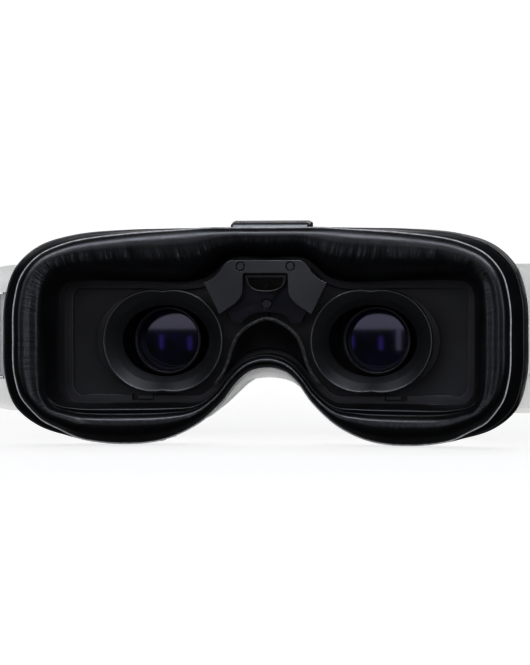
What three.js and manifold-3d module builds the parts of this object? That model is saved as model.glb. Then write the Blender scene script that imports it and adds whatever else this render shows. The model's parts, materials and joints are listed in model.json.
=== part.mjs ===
// Video goggles for flying a model from its own camera: a white two-part housing with a soft face
// gasket, two eyepieces that slide apart on rails, a cooling fan and folding strap loops.
// Millimetres, +Z up. The wearer looks along +Y, so -Y is the face side and +X the right eye.
// The origin is midway across and midway deep, on the surface that the goggles stand on.
import * as THREE from "three";
import { mergeVertices } from "three/addons/utils/BufferGeometryUtils.js";
import { LoftGeometry } from "three/addons/geometries/LoftGeometry.js";
import Module from "manifold-3d";

const wasm = await Module();
wasm.setup();

// ---- Driving dimensions. Depths are measured from the temple edge of the cushion. ----
const CLEAR = 0.3; // gap between pieces that touch
const FACE_HALF_WIDTH = 80.5; // cushion, from the middle to the temple
const FACE_HEIGHT = 66.5; // top of the cushion above the table
const RIM_SAG = 20; // how much deeper the cushion's crest lies at the nose than at the temple
const NOSE_SAG = 4.5; // and how much deeper again right above the nose
const BASE_DEPTH = 16; // back of the cushion at the temple
const BASE_SAG = 14; // and how much deeper its back lies at the nose
const FRAME_THICKNESS = 2.5; // hard ring behind the cushion
const TEMPLE_BAND = 16.5; // cushion's width at the temple
const BROW_BAND = 16.2; // cushion's width above the eyes
const CHEEK_BAND = 12.6; // cushion's width below the eyes
const BRIDGE_BAND = 9.1; // cushion's width above the middle bracket

const WALL = 2.2; // housing wall
const SHELL_INSET = 1.2; // housing's outline inside the cushion's
const SPLIT_DEPTH = 46; // where the two housing shells meet
const FRONT_DEPTH = 76; // outside of the front shell
const VISOR_THICKNESS = 1.8;

const BEZEL_WALL = 1.6;
const LEDGE_WIDTH = 2.4; // bezel's flat band inside the window
const LEDGE_DEPTH = 31.3; // face of that band
const LEDGE_THICKNESS = 1.7;
const PANEL_DEPTH = 33.3; // face of the eye panels
const PANEL_THICKNESS = 2;

const EYE_HEIGHT = 31.7; // lens axis above the table
const EYE_SPACING = 66; // between the lens axes, eyepieces at mid travel
const EYE_TRAVEL = 3; // each eyepiece slides this far either way
const DISH_RADIUS_X = 18.9; // dish rim
const DISH_RADIUS_Z = 15.95;
const DISH_DEPTH = 25; // face of the dish rim
const DISH_FLOOR = 31; // depth of its oval opening
const DISH_MOUTH_X = 13.75; // that opening's half sizes
const DISH_MOUTH_Z = 11.1;
const DISH_COLLAR = 2; // how far the collar behind the rim is smaller than the rim
const DISH_COLLAR_WALL = 1.6;
const DISH_BACK = 37.4; // back of the collar
const DISH_LIP = 1.4; // thickness round the oval opening
const DISH_SKIRT = 1.1; // black flange behind the rim: wider than it, and set towards the temple
const LENS_RADIUS = 9.5;
const LENS_DEPTH = 43; // front of the eye lens
const LENS_THICKNESS = 5;
const FIELD_RADIUS = LENS_RADIUS - CLEAR;
const BARREL_WALL = 0.9;
const BARREL_DEPTH = 40.5; // front edge of the barrel
const CARRIAGE_DEPTH = 53; // front of the sliding carriage
const CARRIAGE_THICKNESS = 8.5;
const CARRIAGE_HALF_WIDTH = 12.5;
const CARRIAGE_HALF_HEIGHT = 19.5;
const DISPLAY_SIZE = [13, 1.6, 10.5];
const BOARD_SIZE = [18, 1.2, 15];

const RAIL_RADIUS = 1.2;
const RAIL_OFFSET = 16.5; // rails above and below the lens axis
const RAIL_DEPTH = 57;
const RAIL_REACH = FACE_HALF_WIDTH - 24.5; // outer ends of the rails
const PINION_DEPTH = 58;
const PINION_RADIUS = 5; // pitch radius
const PINION_TEETH = 16;
const TOOTH_HEIGHT = 0.9;
const RACK_HEIGHT = 3;
const SHAFT_RADIUS = 1.5;
const WHEEL_RADIUS = 9;
const WHEEL_THICKNESS = 5.4;
const WHEEL_RISE = 2.2; // how far the wheel stands out of the housing's top

const FAN_RADIUS = 9.6; // rotor
const FAN_HEIGHT = 37;
const FAN_DEPTH = 60;
const FAN_THICKNESS = 6.5;
const FAN_BLADES = 7;
const MAIN_BOARD_DEPTH = 68;
const MAIN_BOARD_THICKNESS = 1.6;

const WING_REACH = FACE_HALF_WIDTH + 9.5; // tips of the side wings
const WING_TOP = FACE_HEIGHT - 11.1;
const WING_BOTTOM = 9.9;
const WING_DEPTH = 26;
const WING_THICKNESS = 14;
const LOOP_HEIGHT = 26; // strap loops
const LOOP_REACH = 16;
const LOOP_THICKNESS = 3.2;
const LOOP_BAR = 4; // width of the loop's bars
const HINGE_X = FACE_HALF_WIDTH + 3.1; // strap pins
const HINGE_DEPTH = 33.4;
const BARREL_RADIUS = 2.3; // loop's hinge barrel
const PIN_RADIUS = 1.1;

const BRACKET_DEPTH = 22; // face of the middle bracket
const BRACKET_THICKNESS = 4;
const NOSE_PLATE_THICKNESS = 4.4;
const PLUG_RADIUS = 1.4;
const LATCH_X = 39.5;
const LATCH_SIZE = [6.8, 1.8];
const MODULE_HALF_WIDTH = 12.4; // control pod on top
const MODULE_HEIGHT = 2.8; // above the cushion's top
const SCREW_X = FACE_HALF_WIDTH - 8;
const SCREW_SPREAD = 13.8; // screws above and below the eye line
const SCREW_SHANK = 1.1; // radii of the screws, their heads, holes and posts
const SCREW_HEAD = 2.2;
const SCREW_POST = 3.4;
const SCREW_REACH = 11; // depth of the screw hole in the front shell
const HEAD_DEPTH = 2.6; // heads lie this far below the face wall
const SKID_HALF_WIDTH = 8;
const SKID_LENGTH = 8.5;
const SKID_HEIGHT = 2.4;
const SKID_X = FACE_HALF_WIDTH - 38;
const BUTTON_RADIUS = 3;
const BUTTON_RISE = 1.1;
const BUTTON_DEPTH = 58;
const PORT_DEPTH = 55;
const SOCKET_X = FACE_HALF_WIDTH - 16.5; // antenna sockets
const SOCKET_Z = 49;
const SOCKET_REACH = 6; // how far they stand out of the front

const RING_STEPS = 56; // steps round the gasket and the shells
const ROUND_STEPS = 24; // steps round a barrel

// ---- Materials ----
function finish(color, roughness, metalness = 0) {
  return new THREE.MeshStandardMaterial({ color, roughness, metalness });
}
const finishes = {
  leather: finish(0x14161b, 0.5),
  blackPlastic: finish(0x111214, 0.55),
  greyPlastic: finish(0x2b2d31, 0.6),
  glossyBlack: finish(0x07080a, 0.12),
  whitePlastic: finish(0xf2f2f0, 0.3),
  softGrey: finish(0x9a9c9e, 0.6),
  glass: finish(0x1a1f45, 0.05),
  steel: finish(0xc8c9cb, 0.3, 1),
  brass: finish(0xc9a35a, 0.3, 1),
  board: finish(0x12402a, 0.5),
};

// ---- Solids: closed three.js geometries that manifold-3d joins and cuts ----
function solid(geometry) {
  const bare = geometry.index ? geometry.toNonIndexed() : geometry.clone();
  bare.deleteAttribute("normal");
  bare.deleteAttribute("uv");
  const merged = mergeVertices(bare, 1e-4);
  const mesh = new wasm.Mesh({
    numProp: 3,
    vertProperties: merged.attributes.position.array,
    triVerts: new Uint32Array(merged.index.array),
  });
  return new wasm.Manifold(mesh);
}

function geometryOf(made) {
  const mesh = made.getMesh();
  const geometry = new THREE.BufferGeometry();
  geometry.setAttribute("position", new THREE.BufferAttribute(mesh.vertProperties, 3));
  geometry.setIndex(new THREE.BufferAttribute(mesh.triVerts, 1));
  geometry.computeVertexNormals();
  return geometry;
}

// A box between two corners.
function block(x0, x1, y0, y1, z0, z1) {
  const box = new THREE.BoxGeometry(x1 - x0, y1 - y0, z1 - z0);
  return solid(box.translate((x0 + x1) / 2, (y0 + y1) / 2, (z0 + z1) / 2));
}

// A cylinder along X, Y or Z between two places on that axis.
function rod(axis, radius, from, to, at = [0, 0, 0], steps = ROUND_STEPS) {
  const cylinder = new THREE.CylinderGeometry(radius, radius, to - from, steps);
  cylinder.translate(0, (from + to) / 2, 0);
  if (axis === "x") cylinder.rotateZ(-Math.PI / 2);
  if (axis === "z") cylinder.rotateX(Math.PI / 2);
  return solid(cylinder.translate(...at));
}

// A profile of [radius, depth] points turned about the Y axis.
function turned(profile, steps = ROUND_STEPS) {
  const points = profile.map(([r, y]) => new THREE.Vector2(r, y));
  return solid(new THREE.LatheGeometry(points, steps));
}

// A flat outline in X and Z, with holes, made solid between two depths.
function slab(outline, y0, y1, holes = []) {
  const shape = new THREE.Shape(outline.map((p) => new THREE.Vector2(p.x, p.z)));
  let made = plate(shape, y0, y1);
  for (const hole of holes) made = made.subtract(slab(hole, y0 - 1, y1 + 1));
  return made;
}

// A drawn THREE.Shape in X and Z, made solid between two depths.
function plate(shape, y0, y1, curveSegments = 8) {
  const flat = new THREE.ExtrudeGeometry(shape, {
    depth: y1 - y0,
    bevelEnabled: false,
    curveSegments,
  });
  return solid(flat.rotateX(Math.PI / 2).translate(0, y1, 0));
}

function roundedRectangle(x0, x1, z0, z1, radius) {
  const r = radius;
  const shape = new THREE.Shape();
  shape.moveTo(x0 + r, z0);
  shape.lineTo(x1 - r, z0);
  shape.absarc(x1 - r, z0 + r, r, -Math.PI / 2, 0, false);
  shape.lineTo(x1, z1 - r);
  shape.absarc(x1 - r, z1 - r, r, 0, Math.PI / 2, false);
  shape.lineTo(x0 + r, z1);
  shape.absarc(x0 + r, z1 - r, r, Math.PI / 2, Math.PI, false);
  shape.lineTo(x0, z0 + r);
  shape.absarc(x0 + r, z0 + r, r, Math.PI, 1.5 * Math.PI, false);
  return shape;
}

// Everything that lies deeper than a curve of depth against X, down to one flat depth.
function behind(depthAt, to) {
  const reach = WING_REACH + 30;
  const steps = 36;
  const shape = new THREE.Shape();
  shape.moveTo(-reach, depthAt(-reach));
  for (let i = 1; i <= steps; i++) {
    const x = -reach + (2 * reach * i) / steps;
    shape.lineTo(x, depthAt(x));
  }
  shape.lineTo(reach, to);
  shape.lineTo(-reach, to);
  const upright = new THREE.ExtrudeGeometry(shape, { depth: 200, bevelEnabled: false });
  return solid(upright.translate(0, 0, -60));
}

// ---- The outline of the gasket: stations from the brow round the temple to the nose ----
// Each station is [outer x, outer z, inner x, inner z, drop of the housing's nose arch].
const W = FACE_HALF_WIDTH;
const H = FACE_HEIGHT;
const WINDOW_X = W - TEMPLE_BAND;
const WINDOW_TOP = H - BROW_BAND;
const BRIDGE_TOP = H - BRIDGE_BAND;
const SIDE = [
  [0, H, 0, BRIDGE_TOP, 0],
  [11, H, 11.2, BRIDGE_TOP, 0],
  [24, H, 20.5, WINDOW_TOP + 0.6, 0],
  [W - 38, H - 0.2, W - 39.5, WINDOW_TOP, 0],
  [W - 21.5, H - 1.7, W - 23.5, WINDOW_TOP, 0],
  [W - 10.5, H - 5.3, WINDOW_X - 2.4, WINDOW_TOP - 0.7, 0],
  [W - 3.6, H - 12, WINDOW_X - 0.4, WINDOW_TOP - 3.6, 0],
  [W - 0.5, H - 21.5, WINDOW_X, H - 25.6, 0],
  [W, H - 33, WINDOW_X, H - 35, 0],
  [W - 0.4, 21, WINDOW_X, 22, 0],
  [W - 3.4, 11.6, WINDOW_X - 0.4, CHEEK_BAND + 3.6, 0],
  [W - 10.5, 5.4, WINDOW_X - 2.6, CHEEK_BAND + 0.6, 0],
  [W - 22, 1.8, W - 24, CHEEK_BAND, 0],
  [W - 37, 0.1, W - 37.5, CHEEK_BAND, 0],
  [32, 1.3, 29, CHEEK_BAND, 0],
  [22, 5.8, 21, 12.9, 0],
  [14.2, 12.6, 15.8, 16.4, 1],
  [9.8, 18.4, 12.1, 21, 2.6],
  [6.2, 21.7, 8.4, 25, 3.5],
  [3, 23, 4.4, 27.2, 4.1],
  [0, 23.3, 0, 28, 4.2],
];
const STATIONS = [...SIDE, ...SIDE.slice(1, -1).reverse().map(([x, z, u, v, d]) => [-x, z, -u, v, d])];

function rimDepth(x, z) {
  const across = Math.min(1, Math.abs(x) / W);
  const nose = z < EYE_HEIGHT ? Math.max(0, 1 - (x / 24) ** 2) : 0;
  return RIM_SAG * (1 - across ** 2) + NOSE_SAG * nose;
}

function baseDepth(x) {
  return BASE_DEPTH + BASE_SAG * (1 - (x / W) ** 2);
}

// A smooth closed outline through one point of each station.
function outlineThrough(pointOf, steps = RING_STEPS) {
  const points = STATIONS.map(pointOf);
  const curve = new THREE.CatmullRomCurve3(points, true, "centripetal");
  return Array.from({ length: steps }, (_, i) => curve.getPoint(i / steps));
}

// The outer outline moved inwards by a distance, with its nose arch let down by a share of its drop.
function outer(inset, arch = 0) {
  return outlineThrough(([x, z, u, v, drop]) => {
    const length = Math.hypot(u - x, v - z);
    const share = inset / length;
    return new THREE.Vector3(x + (u - x) * share, 0, z + (v - z) * share - arch * drop);
  });
}

// The window's outline moved outwards by a distance, or inwards where it is negative.
function inner(outset) {
  return outlineThrough(([x, z, u, v]) => {
    const length = Math.hypot(u - x, v - z);
    const share = outset / length;
    return new THREE.Vector3(u + (x - u) * share, 0, v + (z - v) * share);
  });
}

// ---- Face gasket ----
// The cushion is one section carried round the outline. A section point is a share of the way from
// the outer to the inner outline, and a height between the crest (0) and the flat back (1).
function faceCushion() {
  const section = [
    [0.02, 1],
    [0.05, 0.5],
    [0.18, 0.17],
    [0.36, 0],
    [0.62, 0.03],
    [0.86, 0.2],
    [0.98, 0.5],
    [1, 1],
  ];
  const outside = outer(0);
  const inside = inner(0);
  const sections = outside.map((o, i) => {
    const n = inside[i];
    return section.map(([share, height]) => {
      const x = o.x + (n.x - o.x) * share;
      const z = o.z + (n.z - o.z) * share;
      const crest = rimDepth(x, z);
      return new THREE.Vector3(x, crest + (baseDepth(x) - crest) * height, z);
    });
  });
  sections.push(sections[0]);
  return solid(new LoftGeometry(sections));
}

function cushionFrame() {
  const ring = slab(outer(0.5), 0, SPLIT_DEPTH, [inner(BEZEL_WALL + 2 * CLEAR)]);
  const front = (x) => baseDepth(x) + CLEAR;
  const back = (x) => baseDepth(x) + CLEAR + FRAME_THICKNESS;
  return ring.intersect(behind(front, SPLIT_DEPTH)).subtract(behind(back, SPLIT_DEPTH + 1));
}

// A thin leather flap over the nose, from its bound free edge to the edge sewn under the cushion.
function noseFlap() {
  const edges = [
    [15.8, 17.8, 16.1, 18.4],
    [13.7, 20.6, 14, 21.2],
    [11.8, 22.8, 12.4, 24.4],
    [9.5, 25.6, 11.1, 28.9],
    [6.6, 27.8, 9.6, 33],
    [3.6, 28.9, 5.8, 36.6],
    [0, 29.3, 0, 39.2],
  ];
  const all = [...edges, ...edges.slice(0, -1).reverse().map(([x, z, u, v]) => [-x, z, -u, v])];
  const sewn = new THREE.CatmullRomCurve3(all.map(([x, z]) => new THREE.Vector3(x, 28.6, z)));
  const free = new THREE.CatmullRomCurve3(all.map(([, , u, v]) => new THREE.Vector3(u, 26.8, v)));
  const steps = 28;
  const thickness = 0.8;
  const sections = [];
  for (let i = 0; i <= steps; i++) {
    const a = sewn.getPoint(i / steps);
    const b = free.getPoint(i / steps);
    sections.push([
      a,
      b,
      new THREE.Vector3(b.x, b.y + thickness, b.z),
      new THREE.Vector3(a.x, a.y + thickness, a.z),
    ]);
  }
  return solid(new LoftGeometry(sections, { capStart: true, capEnd: true }));
}

function bezel() {
  const tube = slab(inner(BEZEL_WALL + CLEAR), 0, PANEL_DEPTH + PANEL_THICKNESS, [inner(CLEAR)]);
  const wall = tube.intersect(behind((x) => baseDepth(x) + CLEAR, SPLIT_DEPTH));
  const ledgeBack = LEDGE_DEPTH + LEDGE_THICKNESS;
  const ledge = slab(inner(BEZEL_WALL + CLEAR - 0.2), LEDGE_DEPTH, ledgeBack, [inner(-LEDGE_WIDTH)]);
  let made = wall.add(ledge);
  for (const side of [-1, 1]) {
    const x = side * LATCH_X;
    const z = CHEEK_BAND + LEDGE_WIDTH / 2 + 0.3;
    const [width, height] = LATCH_SIZE;
    made = made.subtract(
      block(x - width / 2, x + width / 2, 30, ledgeBack + 1, z - height / 2, z + height / 2),
    );
  }
  return made;
}

function insertLatch() {
  const z = CHEEK_BAND + LEDGE_WIDTH / 2 + 0.3;
  const half = LATCH_SIZE[1] / 2 - CLEAR;
  const left = LATCH_X - LATCH_SIZE[0] / 2 + CLEAR;
  const tongue = block(left, left + 4.6, LEDGE_DEPTH + 0.2, LEDGE_DEPTH + 1.4, z - half, z + half);
  return tongue.add(block(left + 1, left + 3, LEDGE_DEPTH + 0.6, PANEL_DEPTH - CLEAR, z - half, z + half));
}

// ---- Eye panels and dishes, right eye ----
function ellipse(radiusX, radiusZ, x = 0, z = 0, steps = 32) {
  return Array.from({ length: steps }, (_, i) => {
    const angle = (2 * Math.PI * i) / steps;
    return new THREE.Vector3(x + radiusX * Math.cos(angle), 0, z + radiusZ * Math.sin(angle));
  });
}

const DISH_X = EYE_SPACING / 2 - 0.7;
const COLLAR_X = DISH_RADIUS_X - DISH_COLLAR;
const COLLAR_Z = DISH_RADIUS_Z - DISH_COLLAR;

function eyePanel() {
  const full = slab(inner(-0.1), PANEL_DEPTH, PANEL_DEPTH + PANEL_THICKNESS);
  const half = full.intersect(block(CLEAR, 200, 0, 100, -20, 200));
  const hole = ellipse(COLLAR_X + CLEAR, COLLAR_Z + CLEAR, DISH_X, EYE_HEIGHT);
  return half.subtract(slab(hole, 0, 100));
}

// A shallow funnel with a thin rim: its mouth is oval, so that the barrel can slide sideways behind
// it. Rings are [half width, half height, depth, shift towards the temple].
function dish() {
  const wall = DISH_COLLAR_WALL;
  const lip = DISH_FLOOR + DISH_LIP;
  const rings = [
    [DISH_RADIUS_X, DISH_RADIUS_Z, DISH_DEPTH + 0.4, 0],
    [DISH_RADIUS_X - 0.5, DISH_RADIUS_Z - 0.5, DISH_DEPTH, 0],
    [DISH_RADIUS_X - 1.1, DISH_RADIUS_Z - 1.1, DISH_DEPTH + 0.5, 0],
    [DISH_MOUTH_X + 2.2, DISH_MOUTH_Z + 1.9, (DISH_DEPTH + DISH_FLOOR) / 2, 0],
    [DISH_MOUTH_X, DISH_MOUTH_Z, DISH_FLOOR, 0],
    [DISH_MOUTH_X, DISH_MOUTH_Z, lip, 0],
    [COLLAR_X - wall, COLLAR_Z - wall, lip + 0.2, 0],
    [COLLAR_X - wall, COLLAR_Z - wall, DISH_BACK, 0],
    [COLLAR_X, COLLAR_Z, DISH_BACK, 0],
    [COLLAR_X, COLLAR_Z, DISH_DEPTH + 3.2, 0],
    [DISH_RADIUS_X + DISH_SKIRT, DISH_RADIUS_Z + DISH_SKIRT / 3, DISH_DEPTH + 2.6, DISH_SKIRT],
    [DISH_RADIUS_X + DISH_SKIRT, DISH_RADIUS_Z + DISH_SKIRT / 3, DISH_DEPTH + 1.4, DISH_SKIRT],
    [DISH_RADIUS_X, DISH_RADIUS_Z, DISH_DEPTH + 1.4, 0],
  ];
  const sections = rings.map(([a, b, y, shift]) => ellipse(a, b, shift).map((p) => p.setY(y)));
  sections.push(sections[0]);
  return solid(new LoftGeometry(sections));
}

// ---- Eyepiece, right eye, with its lens axis on the Y axis ----
function railHoles(made) {
  let cut = made;
  for (const side of [-1, 1]) {
    cut = cut.subtract(
      rod("x", RAIL_RADIUS + CLEAR, -40, 40, [0, RAIL_DEPTH, side * RAIL_OFFSET], 16),
    );
  }
  return cut;
}

// Rack tooth gaps, one pitch apart, cut into a bar along X as far as a reach either side of a middle.
function rackTeeth(bar, middle, reach, pitchDepth, facing, z0, z1) {
  const pitch = (2 * Math.PI * PINION_RADIUS) / PINION_TEETH;
  let made = bar;
  const count = Math.floor(reach / pitch);
  for (let i = -count; i <= count; i++) {
    const x = middle + i * pitch;
    const shape = new THREE.Shape();
    const root = pitchDepth + facing * -0.62;
    const tip = pitchDepth + facing * 0.6;
    shape.moveTo(x - 0.42, root);
    shape.lineTo(x + 0.42, root);
    shape.lineTo(x + 0.85, tip);
    shape.lineTo(x - 0.85, tip);
    shape.closePath();
    const gap = new THREE.ExtrudeGeometry(shape, { depth: z1 - z0 + 2, bevelEnabled: false });
    made = made.subtract(solid(gap.translate(0, 0, z0 - 1)));
  }
  return made;
}

// The carriage's rack arm, in the whole object's place: near side of the pinion for the right eye.
function eyepiece(side) {
  const inner = LENS_RADIUS + CLEAR;
  const outerRadius = inner + BARREL_WALL;
  const back = CARRIAGE_DEPTH + CARRIAGE_THICKNESS;
  const tube = turned([
    [inner, BARREL_DEPTH],
    [outerRadius, BARREL_DEPTH],
    [outerRadius, CARRIAGE_DEPTH + 1],
    [inner, CARRIAGE_DEPTH + 1],
    [inner, BARREL_DEPTH],
  ]);
  const w = CARRIAGE_HALF_WIDTH;
  const h = CARRIAGE_HALF_HEIGHT;
  const body = plate(roundedRectangle(-w, w, -h, h, 3), CARRIAGE_DEPTH, back, 4);
  let made = body.subtract(rod("y", FIELD_RADIUS + CLEAR, CARRIAGE_DEPTH - 1, back + 1)).add(tube);
  // The arm reaches across the middle of the goggles on the pinion's near or far side.
  const facing = side > 0 ? -1 : 1;
  const pitchDepth = PINION_DEPTH - facing * PINION_RADIUS;
  const face = pitchDepth + facing * 0.45;
  const spine = pitchDepth - facing * 2;
  const y0 = Math.min(face, spine);
  const y1 = Math.max(face, spine);
  const z0 = h + 1.2;
  const z1 = z0 + RACK_HEIGHT;
  const toMiddle = EYE_SPACING / 2;
  let arm = block(-toMiddle - 9, -w + 5, y0, y1, z0, z1);
  arm = rackTeeth(arm, -toMiddle, 8.5, pitchDepth, facing, z0, z1);
  const root = block(-w, -w + 5, Math.min(y0, back - 4), Math.max(y1, CARRIAGE_DEPTH + 4), h - 2, z1);
  return railHoles(made.add(arm).add(root));
}

function lensRing() {
  const inner = LENS_RADIUS - 0.1;
  const outerRadius = LENS_RADIUS + CLEAR + BARREL_WALL;
  return turned([
    [inner, BARREL_DEPTH - CLEAR],
    [inner, BARREL_DEPTH - 0.9],
    [inner + 0.4, BARREL_DEPTH - 1.4],
    [outerRadius - 0.3, BARREL_DEPTH - 1.4],
    [outerRadius, BARREL_DEPTH - 1.1],
    [outerRadius, BARREL_DEPTH - CLEAR],
    [inner, BARREL_DEPTH - CLEAR],
  ]);
}

// A lens from its radius, edge depths and how far each face bulges.
function lens(radius, front, back, frontBulge, backBulge) {
  const steps = 2;
  const profile = [];
  for (let i = 0; i <= steps; i++) {
    const r = (radius * i) / steps;
    profile.push([r, front + frontBulge * (r / radius) ** 2]);
  }
  for (let i = steps; i >= 0; i--) {
    const r = (radius * i) / steps;
    profile.push([r, back - backBulge * (r / radius) ** 2]);
  }
  return turned(profile);
}

// ---- Middle bracket, sensor and nose plate ----
function centerBracket() {
  const top = BRIDGE_TOP - 3 * CLEAR;
  const shape = new THREE.Shape();
  shape.moveTo(-10.6, top);
  shape.lineTo(10.6, top);
  shape.quadraticCurveTo(12.4, top - 0.4, 13.6, top - 2.6);
  shape.quadraticCurveTo(15.4, top - 5.6, 19, top - 6.9);
  shape.lineTo(14.2, top - 16.6);
  shape.lineTo(9.7, top - 13.6);
  shape.quadraticCurveTo(7.3, top - 11.6, 7.1, top - 9.6);
  shape.lineTo(6.9, top - 4.6);
  shape.quadraticCurveTo(6.9, top - 4, 6.2, top - 4);
  shape.lineTo(-6.2, top - 4);
  shape.quadraticCurveTo(-6.9, top - 4, -6.9, top - 4.6);
  shape.lineTo(-7.1, top - 9.6);
  shape.quadraticCurveTo(-7.3, top - 11.6, -9.7, top - 13.6);
  shape.lineTo(-14.2, top - 16.6);
  shape.lineTo(-19, top - 6.9);
  shape.quadraticCurveTo(-15.4, top - 5.6, -13.6, top - 2.6);
  shape.quadraticCurveTo(-12.4, top - 0.4, -10.6, top);
  let made = plate(shape, BRACKET_DEPTH, BRACKET_DEPTH + BRACKET_THICKNESS);
  for (const x of [-7.7, 7.7]) {
    made = made.subtract(rod("y", PLUG_RADIUS, BRACKET_DEPTH - 1, BRACKET_DEPTH + 1.6, [x, 0, top - 1.9], 20));
  }
  return made;
}

function halfMoon(halfWidth, top, drop) {
  const shape = new THREE.Shape();
  shape.moveTo(-halfWidth, top);
  shape.lineTo(-halfWidth, top - 1);
  shape.quadraticCurveTo(-halfWidth + 0.6, top - drop, 0, top - drop);
  shape.quadraticCurveTo(halfWidth - 0.6, top - drop, halfWidth, top - 1);
  shape.lineTo(halfWidth, top);
  return shape;
}

function sensorWindow() {
  const top = BRIDGE_TOP - 5.4;
  const frame = plate(halfMoon(6.4, top, 5.4), BRACKET_DEPTH + 1.2, BRACKET_DEPTH + 2.6);
  return frame.subtract(plate(halfMoon(5.4, top - 0.9, 3.9), BRACKET_DEPTH, BRACKET_DEPTH + 3));
}

function sensorBoard() {
  const top = BRIDGE_TOP - 5.6;
  const y = BRACKET_DEPTH + 2.9;
  return plate(halfMoon(6.1, top, 5), y, y + 0.9).subtract(
    rod("y", 0.65, y - 1, y + 2, [0, 0, top - 2.8], 14),
  );
}

const NOSE_PLATE_DEPTH = BRACKET_DEPTH + BRACKET_THICKNESS + CLEAR;

function nosePlate() {
  const top = BRIDGE_TOP - 5;
  const low = BRIDGE_TOP - 20.2;
  const shape = new THREE.Shape();
  shape.moveTo(-8.6, top);
  shape.lineTo(8.6, top);
  shape.lineTo(12.4, top - 9);
  shape.lineTo(12.4, top - 11.5);
  shape.quadraticCurveTo(11.4, low + 1.6, 10.4, low);
  shape.lineTo(7.6, low);
  shape.quadraticCurveTo(6, low + 3.4, 0, low + 3.4);
  shape.quadraticCurveTo(-6, low + 3.4, -7.6, low);
  shape.lineTo(-10.4, low);
  shape.quadraticCurveTo(-11.4, low + 1.6, -12.4, top - 11.5);
  shape.lineTo(-12.4, top - 9);
  const made = plate(shape, NOSE_PLATE_DEPTH, NOSE_PLATE_DEPTH + NOSE_PLATE_THICKNESS);
  return made.subtract(
    rod("y", PLUG_RADIUS + CLEAR, NOSE_PLATE_DEPTH - 1, NOSE_PLATE_DEPTH + 1.6, [0, 0, top - 9.3], 20),
  );
}

// ---- Housing ----
const SHELL_FRONT = (x) => baseDepth(x) + FRAME_THICKNESS + 2 * CLEAR;
const SCREW_HEIGHTS = [EYE_HEIGHT - SCREW_SPREAD, EYE_HEIGHT + SCREW_SPREAD];

function screwPlaces() {
  return [-1, 1].flatMap((side) => SCREW_HEIGHTS.map((z) => [side * SCREW_X, z]));
}

// A wing runs out from the housing's side and ends in two ears that hold the strap pin.
function wing() {
  const shape = new THREE.Shape();
  const tip = WING_REACH;
  shape.moveTo(W - 6, WING_BOTTOM);
  shape.lineTo(W, WING_BOTTOM);
  shape.lineTo(tip - 5, WING_BOTTOM + 0.8);
  shape.quadraticCurveTo(tip, WING_BOTTOM + 1, tip, WING_BOTTOM + 6);
  shape.lineTo(tip, WING_TOP - 6);
  shape.quadraticCurveTo(tip, WING_TOP - 1, tip - 5, WING_TOP - 0.8);
  shape.lineTo(W, WING_TOP);
  shape.lineTo(W - 6, WING_TOP);
  shape.closePath();
  const bevel = 1.6;
  const flat = new THREE.ExtrudeGeometry(shape, {
    depth: WING_THICKNESS - 2 * bevel,
    bevelThickness: bevel,
    bevelSize: bevel,
    bevelOffset: -bevel,
    bevelSegments: 1,
    curveSegments: 4,
  });
  flat.rotateX(Math.PI / 2).translate(0, WING_DEPTH + WING_THICKNESS - bevel, 0);
  const middle = (WING_TOP + WING_BOTTOM) / 2 + 0.7;
  const room = LOOP_HEIGHT / 2 + 0.5;
  const gap = roundedRectangle(HINGE_X - BARREL_RADIUS - 1, tip + 10, middle - room, middle + room, 2);
  const pinRoom = rod("z", PIN_RADIUS + CLEAR, -room - 4, room + 4, [HINGE_X, HINGE_DEPTH, middle], 16);
  return solid(flat).subtract(plate(gap, 0, 60, 3)).subtract(pinRoom);
}
const LOOP_Z = (WING_TOP + WING_BOTTOM) / 2 + 0.7;

function mirrored(made) {
  const geometry = geometryOf(made).toNonIndexed();
  const position = geometry.attributes.position;
  for (let i = 0; i < position.count; i += 3) {
    const first = new THREE.Vector3().fromBufferAttribute(position, i);
    const second = new THREE.Vector3().fromBufferAttribute(position, i + 1);
    position.setXYZ(i, second.x, second.y, second.z);
    position.setXYZ(i + 1, first.x, first.y, first.z);
  }
  for (let i = 0; i < position.count; i++) position.setX(i, -position.getX(i));
  return solid(geometry);
}

// A flat skid under one cheek that ends at a depth.
function skid(side, to) {
  const middle = side * SKID_X;
  return block(middle - SKID_HALF_WIDTH, middle + SKID_HALF_WIDTH, to - SKID_LENGTH, to, 0, SKID_HEIGHT);
}

function rearShell() {
  const side = SPLIT_DEPTH;
  const body = slab(outer(SHELL_INSET, 1), 0, side).intersect(behind(SHELL_FRONT, side));
  const roomFront = (x) => SHELL_FRONT(x) + WALL;
  const room = slab(outer(SHELL_INSET + WALL, 1), 0, side + 1).intersect(behind(roomFront, side + 1));
  const right = wing();
  let made = body.add(right).add(mirrored(right)).subtract(room);
  // Screw posts run from the face wall to the split.
  for (const [x, z] of screwPlaces()) {
    made = made.add(rod("y", SCREW_POST, SHELL_FRONT(x) + 1.5, side, [x, 0, z], 12));
    made = made.subtract(rod("y", SCREW_HEAD + CLEAR, 0, SHELL_FRONT(x) + HEAD_DEPTH, [x, 0, z], 12));
    made = made.subtract(rod("y", SCREW_SHANK + CLEAR, 0, side + 1, [x, 0, z], 10));
  }
  // Two flat skids under the cheeks, and two more on the front shell, carry the goggles on a table.
  for (const sign of [-1, 1]) made = made.add(skid(sign, SPLIT_DEPTH - 0.5));
  return made.subtract(slab(inner(BEZEL_WALL + 2 * CLEAR), 0, side + 1));
}

// Shell sections: [depth, inset of the outline].
function shellLoft(stages, arch) {
  const sections = stages.map(([y, inset]) => outer(inset, arch).map((p) => p.setY(y)));
  return solid(new LoftGeometry(sections, { capStart: true, capEnd: true }));
}

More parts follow.
